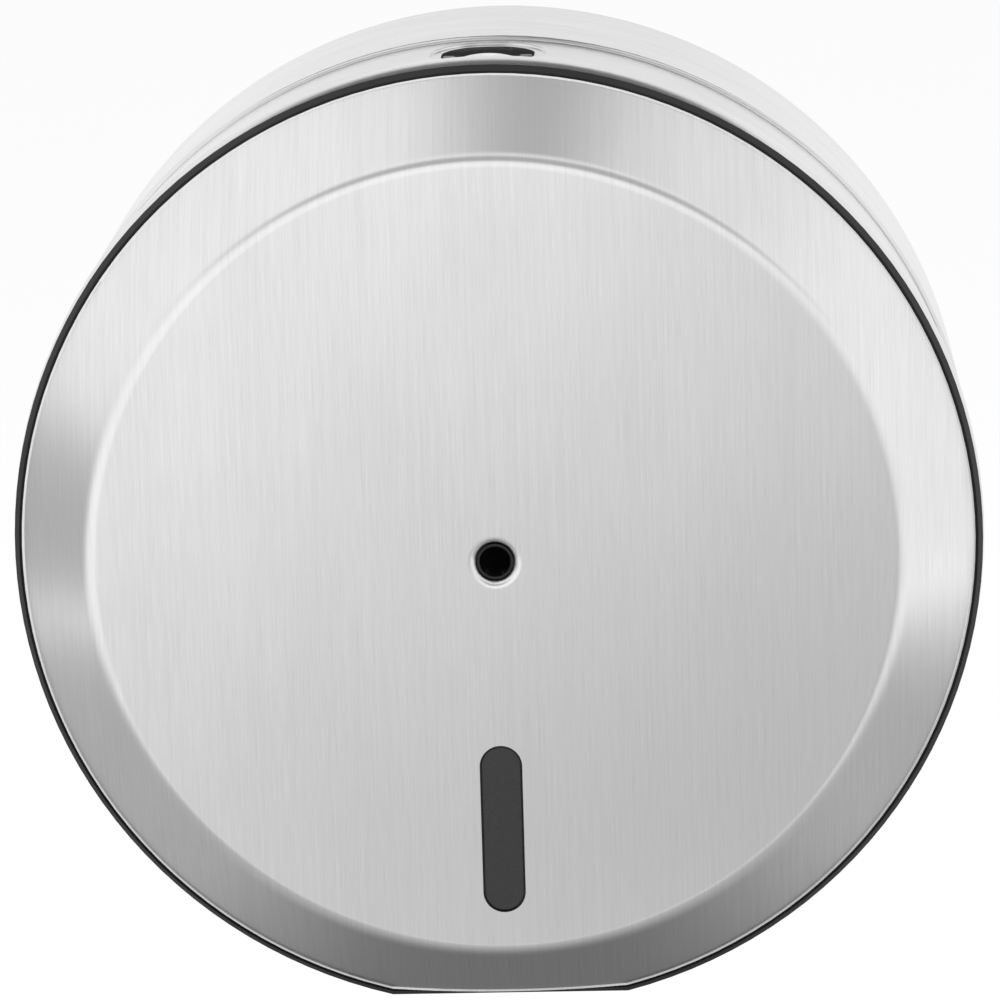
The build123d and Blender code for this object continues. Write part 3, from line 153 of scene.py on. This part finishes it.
def new_material(name):
    """A material with a principled shader on its surface, with its tree and the shader."""
    material = bpy.data.materials.new(name)
    tree = empty_tree(material)
    shader = add_node(tree, "BsdfPrincipled")
    add_node(tree, "OutputMaterial", {"Surface": shader.outputs["BSDF"]})
    return material, tree, shader


def object_point(tree):
    """The point on the surface, in metres from the object's own origin."""
    return add_node(tree, "TexCoord").outputs["Object"]


def per_size(size):
    """Features to the metre for a feature size in millimetres, or none where the size is left out."""
    return 0.0 if size is None else 1.0 / (size * MM)


def vector_maths(tree, operation, first, second=None, scale=None):
    """One step on vectors, with a vector result."""
    inputs = {0: first}
    if second is not None:
        inputs[1] = second
    if scale is not None:
        inputs["Scale"] = scale
    return add_node(tree, "VectorMath", inputs, operation=operation).outputs["Vector"]


def vector_value(tree, operation, first, second=None):
    """One step on vectors, with a number as its result."""
    inputs = {0: first} if second is None else {0: first, 1: second}
    return add_node(tree, "VectorMath", inputs, operation=operation).outputs["Value"]


def turned(tree, vector, kind, start, end):
    """A vector or a normal turned from one space into another."""
    made = add_node(
        tree, "VectorTransform", {"Vector": vector}, vector_type=kind, convert_from=start, convert_to=end)
    return made.outputs["Vector"]


def noise(tree, point, size, detail=2.0, roughness=0.5):
    """Noise whose features have the given size in millimetres, along X, Y and Z."""
    scaled = vector_maths(tree, "MULTIPLY", point, [per_size(s) for s in size])
    inputs = {"Vector": scaled, "Scale": 1.0, "Detail": detail, "Roughness": roughness}
    return add_node(tree, "TexNoise", inputs).outputs[0]


def ranged(tree, value, low, high, start=0.3, end=0.7):
    """A value moved from the range start to end into the range low to high."""
    inputs = {"Value": value, "From Min": start, "From Max": end, "To Min": low, "To Max": high}
    return add_node(tree, "MapRange", inputs).outputs["Result"]


def maths(tree, operation, first, second=0.0):
    """One arithmetic step on two values."""
    return add_node(tree, "Math", {0: first, 1: second}, operation=operation).outputs[0]


def blended(tree, first, second, share):
    """A share of the first value and the rest of the second."""
    return maths(
        tree, "ADD", maths(tree, "MULTIPLY", first, share), maths(tree, "MULTIPLY", second, 1.0 - share))


def grey(level):
    """An opaque grey of the given level."""
    return (level, level, level, 1.0)


def shaded(colour, factor):
    """A colour made darker or lighter by a factor."""
    return tuple(min(1.0, part * factor) for part in colour[:3]) + (1.0,)


def tinted(tree, value, dark, light):
    """A colour between dark and light, by a value from 0 to 1."""
    made = add_node(tree, "Mix", {0: value}, data_type="RGBA")
    sockets = [s for s in made.inputs if s.type == "RGBA"]
    sockets[0].default_value, sockets[1].default_value = dark, light
    return [s for s in made.outputs if s.type == "RGBA"][0]


def toned(tree, value, colour, tones, light_colour=None):
    """A colour that noise moves between a darker and a lighter tone, the lighter of another colour if given."""
    dark, light = tones
    return tinted(tree, ranged(tree, value, 0.0, 1.0), shaded(colour, dark), shaded(light_colour or colour, light))


def bumped(tree, height, depth_mm, strength=1.0, below=None):
    """A normal disturbed by a height of the given depth in millimetres."""
    inputs = {"Height": height, "Distance": depth_mm * MM, "Strength": strength}
    if below is not None:
        inputs["Normal"] = below
    return add_node(tree, "Bump", inputs).outputs["Normal"]


def plate_normal(tree, point):
    """The exact normal on the plate's plateau, bend and bevel, and the mesh's own elsewhere."""
    across = vector_maths(tree, "MULTIPLY", point, (1.0, 0.0, 1.0))
    radius = vector_value(tree, "LENGTH", across)
    height = vector_value(tree, "DOT_PRODUCT", point, (0.0, 0.0, 1.0))
    bend_end = BEND_START + BEND_RADIUS * BEVEL_SINE
    sine = ranged(tree, radius, 0.0, BEVEL_SINE, start=BEND_START * MM, end=bend_end * MM)
    cosine = maths(tree, "SQRT", maths(tree, "SUBTRACT", 1.0, maths(tree, "MULTIPLY", sine, sine)))
    outward = vector_maths(tree, "SCALE", vector_maths(tree, "NORMALIZE", across), scale=sine)
    forward = vector_maths(tree, "SCALE", FORWARD, scale=cosine)
    exact = turned(tree, vector_maths(tree, "ADD", outward, forward), "NORMAL", "OBJECT", "WORLD")
    own = add_node(tree, "NewGeometry").outputs["Normal"]
    facing = vector_value(tree, "DOT_PRODUCT", turned(tree, own, "NORMAL", "WORLD", "OBJECT"), FORWARD)
    where = maths(tree, "GREATER_THAN", facing, FRONT_FACING)
    for value, test, limit in (
            (radius, "GREATER_THAN", PLATEAU_START), (radius, "LESS_THAN", BEVEL_END),
            (height, "GREATER_THAN", BEVEL_FOOT)):
        where = maths(tree, "MULTIPLY", where, maths(tree, test, value, limit * MM))
    change = vector_maths(tree, "SCALE", vector_maths(tree, "SUBTRACT", exact, own), scale=where)
    return vector_maths(tree, "ADD", own, change)


def dress(material, *names):
    """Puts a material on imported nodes, in place of their plain one."""
    for name in names:
        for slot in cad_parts[name].material_slots:
            slot.material = material


# Finishes

def brushed_steel(name, colour, line_sizes, cloud_size, stretch, roughness, anisotropy, line_depth, shape=None):
    """Stainless sheet with brush lines, whose highlights stretch across the lines.

    Lines and clouds have their sizes in millimetres along X, Y and Z, stretch is a direction fixed to the
    object, and shape gives the normal under the lines where the mesh's own isn't used.
    """
    material, tree, shader = new_material(name)
    point = object_point(tree)
    fine, long = [noise(tree, point, size, detail=3.0) for size in line_sizes]
    lines = blended(tree, fine, long, share=0.6)
    tone = blended(tree, lines, noise(tree, point, cloud_size), share=0.75)
    set_sockets(shader, {
        "Base Color": toned(tree, tone, colour, STEEL_TONES),
        "Metallic": 1.0,
        "Roughness": ranged(tree, tone, *[roughness * part for part in STEEL_SHEEN]),
        "Anisotropic": anisotropy,
        "Tangent": turned(tree, stretch, "VECTOR", "OBJECT", "WORLD"),
        "Normal": bumped(tree, lines, line_depth, strength=0.6, below=shape(tree, point) if shape else None),
    })
    return material


def moulded_plastic(name, colour, roughness, grain_mm, grain_depth, sheen_mm=22.0, ior=SMOOTH_IOR):
    """Moulded plastic with a fine spark-eroded grain and slow changes of sheen."""
    material, tree, shader = new_material(name)
    point = object_point(tree)
    grain = noise(tree, point, (grain_mm,) * 3, detail=3.0, roughness=0.6)
    mixed = blended(tree, grain, noise(tree, point, (sheen_mm,) * 3), share=0.4)
    set_sockets(shader, {
        "Base Color": toned(tree, mixed, colour, PLASTIC_TONES),
        "Roughness": ranged(tree, mixed, *[roughness * part for part in PLASTIC_SHEEN]),
        "IOR": ior,
        "Normal": bumped(tree, grain, grain_depth, strength=0.8),
    })
    return material


def small_metal(name, colour, roughness, grain_mm, grain_depth, patch_mm, warm=(1.0, 1.0, 1.0), thread=None):
    """Plated, drawn or plain metal of small parts, mottled, with thread lines where a thread is given."""
    material, tree, shader = new_material(name)
    point = object_point(tree)
    grain = noise(tree, point, (grain_mm,) * 3, detail=3.0)
    patch = noise(tree, point, (patch_mm,) * 3, detail=3.0, roughness=0.6)
    normal = bumped(tree, grain, grain_depth, strength=0.7)
    if thread:
        axis, pitch = thread
        along = [0.0, 0.0, 0.0]
        along[axis] = math.tau / (pitch * MM)
        ridges = maths(tree, "SINE", vector_value(tree, "DOT_PRODUCT", point, along))
        normal = bumped(tree, ridges, pitch * THREAD_DEPTH, below=normal)
    warmer = tuple(part * factor for part, factor in zip(colour, warm))
    set_sockets(shader, {
        "Base Color": toned(tree, patch, colour, METAL_TONES, light_colour=warmer),
        "Metallic": 1.0,
        "Roughness": ranged(tree, patch, *[roughness * part for part in METAL_SHEEN]),
        "Normal": normal,
    })
    return material


# Settings that a user would change

class DISPENSER_PG_steel(bpy.types.PropertyGroup):
    """Sheet steel of the plate, the drum and the band"""
    plate_colour: FloatVectorProperty(
        name="Plate", description="Colour of the brushed front plate", subtype="COLOR", size=3,
        default=(0.83, 0.83, 0.83), min=0.0, max=1.0)
    body_colour: FloatVectorProperty(
        name="Body", description="Colour of the drum and the band", subtype="COLOR", size=3,
        default=(0.77, 0.77, 0.77), min=0.0, max=1.0)
    roughness: FloatProperty(
        name="Roughness", description="How wide the brushed highlights are", subtype="FACTOR",
        default=0.30, min=0.0, max=1.0)
    anisotropy: FloatProperty(
        name="Stretch", description="How far highlights stretch across the brush lines", subtype="FACTOR",
        default=0.75, min=0.0, max=1.0)


class DISPENSER_PG_plastic(bpy.types.PropertyGroup):
    """Moulded parts"""
    ring_colour: FloatVectorProperty(
        name="Ring", description="Colour of the black ring round the front plate", subtype="COLOR", size=3,
        default=(0.024, 0.024, 0.025), min=0.0, max=1.0)
    nozzle_colour: FloatVectorProperty(
        name="Nozzle", description="Colour of the paper nozzle", subtype="COLOR", size=3,
        default=(0.006, 0.006, 0.006), min=0.0, max=1.0)
    window_colour: FloatVectorProperty(
        name="Window", description="Colour of the smoked window", subtype="COLOR", size=3,
        default=(0.056, 0.056, 0.057), min=0.0, max=1.0)
    latch_colour: FloatVectorProperty(
        name="Latch", description="Colour of the latch housing and slider", subtype="COLOR", size=3,
        default=(0.045, 0.045, 0.047), min=0.0, max=1.0)
    cradle_colour: FloatVectorProperty(
        name="Cradle", description="Colour of the roll cradle", subtype="COLOR", size=3,
        default=(0.40, 0.41, 0.42), min=0.0, max=1.0)


class DISPENSER_PG_stage(bpy.types.PropertyGroup):
    """Studio round the dispenser"""
    floor_height: FloatProperty(
        name="Floor", description="Height of the floor", unit="LENGTH", default=-0.45)
    world_level: FloatProperty(
        name="World", description="Strength of the world's light on the dispenser", default=0.75, min=0.0)
    lamp_power: FloatProperty(
        name="Lamps", description="Power of each soft lamp", unit="POWER", default=4.5, min=0.0)
    lamp_size: FloatProperty(
        name="Lamp size", description="Width and height of each soft lamp", unit="LENGTH", default=1.1, min=0.1)


# Operators

class DISPENSER_OT_front_plate(bpy.types.Operator):
    """Brushes the dished front plate vertically"""
    bl_idname = "dispenser.front_plate"
    bl_label = "Front plate"

    def execute(self, context):
        steel = context.scene.dispenser_steel
        material = brushed_steel(
            "steel_brushed_upright", tuple(steel.plate_colour),
            line_sizes=((0.28, None, 14.0), (0.9, None, 70.0)), cloud_size=(30.0, None, 60.0),
            stretch=(1.0, 0.0, 0.0), roughness=steel.roughness, anisotropy=steel.anisotropy, line_depth=0.012,
            shape=plate_normal)
        dress(material, "front_plate")
        return {"FINISHED"}


class DISPENSER_OT_body(bpy.types.Operator):
    """Polishes the drum and the cover's band round their axis"""
    bl_idname = "dispenser.body"
    bl_label = "Drum and band"

    def execute(self, context):
        steel = context.scene.dispenser_steel
        material = brushed_steel(
            "steel_brushed_round", tuple(steel.body_colour),
            line_sizes=((18.0, 0.25, 18.0), (60.0, 0.8, 60.0)), cloud_size=(35.0, 12.0, 35.0),
            stretch=(0.12, 1.0, 0.0), roughness=steel.roughness * BODY_ROUGHNESS,
            anisotropy=steel.anisotropy * BODY_STRETCH, line_depth=0.0025)
        dress(material, "rear_housing", "cover_band")
        return {"FINISHED"}


class DISPENSER_OT_front_ring(bpy.types.Operator):
    """Gives the ring its satin black"""
    bl_idname = "dispenser.front_ring"
    bl_label = "Black ring"

    def execute(self, context):
        colour = tuple(context.scene.dispenser_plastic.ring_colour)
        material = moulded_plastic(
            "plastic_black_satin", colour, roughness=0.42, grain_mm=0.35, grain_depth=0.012, ior=SATIN_IOR)
        dress(material, "front_ring")
        return {"FINISHED"}


class DISPENSER_OT_paper_nozzle(bpy.types.Operator):
    """Gives the paper nozzle its smooth black"""
    bl_idname = "dispenser.paper_nozzle"
    bl_label = "Paper nozzle"

    def execute(self, context):
        colour = tuple(context.scene.dispenser_plastic.nozzle_colour)
        material = moulded_plastic("plastic_black_gloss", colour, roughness=0.16, grain_mm=0.8, grain_depth=0.002)
        dress(material, "paper_nozzle")
        return {"FINISHED"}


class DISPENSER_OT_window(bpy.types.Operator):
    """Makes the smoked window and its rubber gasket"""
    bl_idname = "dispenser.window"
    bl_label = "Window and gasket"

    def execute(self, context):
        colour = tuple(context.scene.dispenser_plastic.window_colour)
        lens, tree, shader = new_material("plastic_smoked")
        point = object_point(tree)
        ripple = noise(tree, point, size=(3.0, 3.0, 3.0))
        speck = noise(tree, point, size=(0.5, 0.5, 0.5))
        set_sockets(shader, {
            "Base Color": toned(tree, speck, colour, LENS_TONES),
            "Roughness": ranged(tree, ripple, *LENS_ROUGHNESS),
            "IOR": SMOOTH_IOR,
            "Transmission Weight": LENS_CLEARNESS,
            "Normal": bumped(tree, ripple, depth_mm=0.006, strength=0.5),
        })
        dress(lens, "window_lens")
        rubber = moulded_plastic("rubber_black", RUBBER_COLOUR, roughness=0.75, grain_mm=0.3, grain_depth=0.02)
        dress(rubber, "window_gasket")
        return {"FINISHED"}


class DISPENSER_OT_roll_cradle(bpy.types.Operator):
    """Gives the roll cradle its grey moulded plastic"""
    bl_idname = "dispenser.roll_cradle"
    bl_label = "Roll cradle"

    def execute(self, context):
        colour = tuple(context.scene.dispenser_plastic.cradle_colour)
        material = moulded_plastic(
            "plastic_grey", colour, roughness=0.5, grain_mm=0.5, grain_depth=0.015, sheen_mm=30.0)
        dress(material, "roll_cradle")
        return {"FINISHED"}


class DISPENSER_OT_latch(bpy.types.Operator):
    """Finishes the latch: its dark plastic parts, the bright tab, and the springs with the push nuts"""
    bl_idname = "dispenser.latch"
    bl_label = "Latch"

    def execute(self, context):
        colour = tuple(context.scene.dispenser_plastic.latch_colour)
        plastic = moulded_plastic(
            "plastic_dark", colour, roughness=0.38, grain_mm=0.4, grain_depth=0.01, sheen_mm=9.0)
        dress(plastic, "latch_housing", "latch_floor", "latch_slider")
        bright = small_metal(
            "steel_tab", TAB_COLOUR, roughness=0.16, grain_mm=0.3, grain_depth=0.002, patch_mm=6.0)
        dress(bright, "release_tab")
        wire = small_metal(
            "steel_spring", SPRING_COLOUR, roughness=0.3, grain_mm=0.15, grain_depth=0.004, patch_mm=2.0,
            warm=SPRING_WARMTH)
        dress(wire, "latch_spring_left", "latch_spring_right", "nozzle_push_nuts", "window_push_nuts")
        return {"FINISHED"}


class DISPENSER_OT_fasteners(bpy.types.Operator):
    """Plates the strike, studs, nuts, washers and screws with zinc, and gives studs and screws their threads"""
    bl_idname = "dispenser.fasteners"
    bl_label = "Fasteners"

    def execute(self, context):
        zinc = dict(
            colour=ZINC_COLOUR, roughness=0.3, grain_mm=0.3, grain_depth=0.003, patch_mm=3.0, warm=ZINC_WARMTH)
        dress(
            small_metal("zinc_plain", **zinc),
            "strike_plate", "cradle_washers", "cradle_nuts", "rim_washers", "rim_nuts",
            "latch_housing_washers", "latch_housing_nuts")
        dress(small_metal("zinc_thread_m4", thread=THREAD_LARGE, **zinc), "cradle_studs", "rim_studs")
        dress(small_metal("zinc_thread_m2", thread=THREAD_SMALL, **zinc), "nozzle_studs", "window_studs")
        dress(
            small_metal("zinc_thread_upright", thread=THREAD_UPRIGHT, **zinc),
            "latch_housing_studs", "latch_floor_screws")
        return {"FINISHED"}


class DISPENSER_OT_hinge(bpy.types.Operator):
    """Finishes the hinge leaves, its pin and the rivets"""
    bl_idname = "dispenser.hinge"
    bl_label = "Hinge"

    def execute(self, context):
        rolled = small_metal(
            "steel_rolled", HINGE_COLOUR, roughness=0.32, grain_mm=0.4, grain_depth=0.004, patch_mm=7.0)
        dress(rolled, "hinge_leaf_rear", "hinge_leaf_cover", "hinge_pin")
        plain = small_metal(
            "aluminium_rivet", RIVET_COLOUR, roughness=0.36, grain_mm=0.25, grain_depth=0.005, patch_mm=2.5)
        dress(plain, "rear_leaf_rivets", "cover_leaf_rivets", "tab_rivets")
        return {"FINISHED"}


# Studio

def seen_rays(tree):
    """1 for rays that look at, mirror or look through to a surface, 0 for rays that carry light."""
    path = add_node(tree, "LightPath").outputs
    looks = maths(tree, "MAXIMUM", path["Is Camera Ray"], path["Is Glossy Ray"])
    return maths(tree, "MAXIMUM", looks, path["Is Transmission Ray"])


def panel_mesh(name):
    """A square from -1 to 1, facing +Z."""
    mesh = bpy.data.meshes.new(name)
    mesh.from_pydata([(-1, -1, 0), (1, -1, 0), (1, 1, 0), (-1, 1, 0)], [], [(0, 1, 2, 3)])
    return mesh


def add_object(context, name, data):
    """A new object of the scene, made of a mesh, a light or a camera."""
    made = bpy.data.objects.new(name, data)
    context.scene.collection.objects.link(made)
    return made


def stand_panel(context, name, place, size, aim, material):
    """Stands a panel at a place, turned to what it faces, seen in reflections only."""
    panel = add_object(context, name, panel_mesh(name))
    panel.data.materials.append(material)
    facing = (Vector(aim) - Vector(place)).to_track_quat("Z", "Y")
    scale = Matrix.Diagonal((size[0] / 2, size[1] / 2, 1.0, 1.0))
    panel.matrix_world = Matrix.Translation(place) @ facing.to_matrix().to_4x4() @ scale
    for rays in ("camera", "diffuse", "transmission", "volume_scatter", "shadow"):
        setattr(panel, "visible_" + rays, False)


def soft_panel_material(name, level, softness):
    """A grey panel that fades out towards its edge."""
    material = bpy.data.materials.new(name)
    tree = empty_tree(material)
    radius = vector_value(tree, "LENGTH", object_point(tree))
    solid = add_node(
        tree, "MapRange",
        {"Value": radius, "From Min": 1.0, "From Max": 1.0 - softness, "To Min": 0.0, "To Max": 1.0},
        interpolation_type="SMOOTHSTEP")
    glow = add_node(tree, "Emission", {"Color": grey(1.0), "Strength": level})
    clear = add_node(tree, "BsdfTransparent")
    mixed = add_node(
        tree, "MixShader", {0: solid.outputs["Result"], 1: clear.outputs["BSDF"], 2: glow.outputs["Emission"]})
    add_node(tree, "OutputMaterial", {"Surface": mixed.outputs["Shader"]})
    return material


def screen_material():
    """A screen that falls from light to dark along its slope, with a light end."""
    material = bpy.data.materials.new("screen_gradient")
    tree = empty_tree(material)
    point = object_point(tree)
    fall = ranged(tree, vector_value(tree, "DOT_PRODUCT", point, FALL_SLOPE), *FALL_LEVELS, *FALL_REACH)
    rise = ranged(tree, vector_value(tree, "DOT_PRODUCT", point, RISE_SLOPE), *RISE_LEVELS, *RISE_REACH)
    glow = add_node(tree, "Emission", {"Color": grey(1.0), "Strength": maths(tree, "MAXIMUM", fall, rise)})
    add_node(tree, "OutputMaterial", {"Surface": glow.outputs["Emission"]})
    return material


class DISPENSER_OT_stage(bpy.types.Operator):
    """Builds the pale floor, the white world, the lamps, the panels and the camera"""
    bl_idname = "dispenser.stage"
    bl_label = "Studio"

    def execute(self, context):
        stage = context.scene.dispenser_stage
        self.build_floor(context, stage)
        self.build_world(context, stage)
        for name, place in LAMPS.items():
            self.build_lamp(context, stage, name, place)
        for name, (place, aim, size, level, softness) in PANELS.items():
            stand_panel(context, name, place, size, aim, soft_panel_material(name, level, softness))
        stand_panel(context, "front_screen", SCREEN_PLACE, SCREEN_SIZE, SCREEN_AIM, screen_material())
        self.build_camera(context)
        return {"FINISHED"}

    def build_floor(self, context, stage):
        """A wide pale floor that keeps the shadow."""
        floor = add_object(context, "studio_floor", panel_mesh("studio_floor"))
        floor.location = (0.0, 0.0, stage.floor_height)
        floor.scale = (FLOOR_HALF, FLOOR_HALF, 1.0)
        material = bpy.data.materials.new("floor_pale")
        tree = empty_tree(material)
        paper = add_node(tree, "BsdfDiffuse", {"Color": grey(FLOOR_LEVEL)})
        glow = add_node(tree, "Emission", {"Color": grey(1.0), "Strength": FLOOR_GLOW})
        seen = add_node(tree, "MixShader", {0: seen_rays(tree), 2: glow.outputs["Emission"]})
        both = add_node(tree, "AddShader", {0: paper.outputs["BSDF"], 1: seen.outputs["Shader"]})
        add_node(tree, "OutputMaterial", {"Surface": both.outputs["Shader"]})
        floor.data.materials.append(material)

    def build_world(self, context, stage):
        """White to the eye and in reflections, plain soft light on everything else."""
        world = bpy.data.worlds.new("studio_world")
        context.scene.world = world
        tree = empty_tree(world)
        light = add_node(tree, "Background", {"Color": grey(1.0), "Strength": stage.world_level})
        white = add_node(tree, "Background", {"Color": grey(1.0), "Strength": 1.0})
        mixed = add_node(
            tree, "MixShader",
            {0: seen_rays(tree), 1: light.outputs["Background"], 2: white.outputs["Background"]})
        add_node(tree, "OutputWorld", {"Surface": mixed.outputs["Shader"]})

    def build_lamp(self, context, stage, name, place):
        """One large soft lamp, turned to the dispenser."""
        light = bpy.data.lights.new(name, "AREA")
        light.shape = "SQUARE"
        light.size = stage.lamp_size
        light.energy = stage.lamp_power
        lamp = add_object(context, name, light)
        lamp.location = place
        lamp.rotation_euler = (Vector(MIDDLE) - Vector(place)).to_track_quat("-Z", "Y").to_euler()
        lamp.visible_camera = False
        lamp.visible_glossy = False

    def build_camera(self, context):
        """The camera, a little above the middle and to the right, with a long lens."""
        lens = bpy.data.cameras.new("studio_camera")
        lens.sensor_width = CAMERA_SENSOR
        lens.lens = CAMERA_LENS
        camera = add_object(context, "studio_camera", lens)
        turn = Matrix((CAMERA_RIGHT, CAMERA_UP, CAMERA_BACK)).transposed().to_4x4()
        camera.matrix_world = Matrix.Translation(CAMERA_PLACE) @ turn
        context.scene.camera = camera
        context.scene.view_settings.view_transform = "Standard"


OPERATORS = (
    DISPENSER_OT_front_plate,
    DISPENSER_OT_body,
    DISPENSER_OT_front_ring,
    DISPENSER_OT_paper_nozzle,
    DISPENSER_OT_window,
    DISPENSER_OT_roll_cradle,
    DISPENSER_OT_latch,
    DISPENSER_OT_fasteners,
    DISPENSER_OT_hinge,
    DISPENSER_OT_stage,
)
SETTINGS = {
    "dispenser_steel": DISPENSER_PG_steel,
    "dispenser_plastic": DISPENSER_PG_plastic,
    "dispenser_stage": DISPENSER_PG_stage,
}


class DISPENSER_PT_main(bpy.types.Panel):
    """Lists the dispenser's settings and its operators"""
    bl_idname = "DISPENSER_PT_main"
    bl_label = "Centre pull dispenser"
    bl_space_type = "VIEW_3D"
    bl_region_type = "UI"
    bl_category = "Dispenser"

    def draw(self, context):
        for name, group in SETTINGS.items():
            box = self.layout.box()
            for setting in group.__annotations__:
                box.prop(getattr(context.scene, name), setting)
        for operator in OPERATORS:
            self.layout.operator(operator.bl_idname)


def register():
    """Registers the settings, the operators and the panel."""
    for name, group in SETTINGS.items():
        bpy.utils.register_class(group)
        setattr(bpy.types.Scene, name, PointerProperty(type=group))
    for operator in OPERATORS:
        bpy.utils.register_class(operator)
    bpy.utils.register_class(DISPENSER_PT_main)


def unregister():
    """Takes them all off again."""
    bpy.utils.unregister_class(DISPENSER_PT_main)
    for operator in reversed(OPERATORS):
        bpy.utils.unregister_class(operator)
    for name, group in SETTINGS.items():
        delattr(bpy.types.Scene, name)
        bpy.utils.unregister_class(group)


def main():
    """Runs every operator in order."""
    register()
    for operator in OPERATORS:
        category, name = operator.bl_idname.split(".")
        getattr(getattr(bpy.ops, category), name)()


if __name__ == "__main__":
    main()
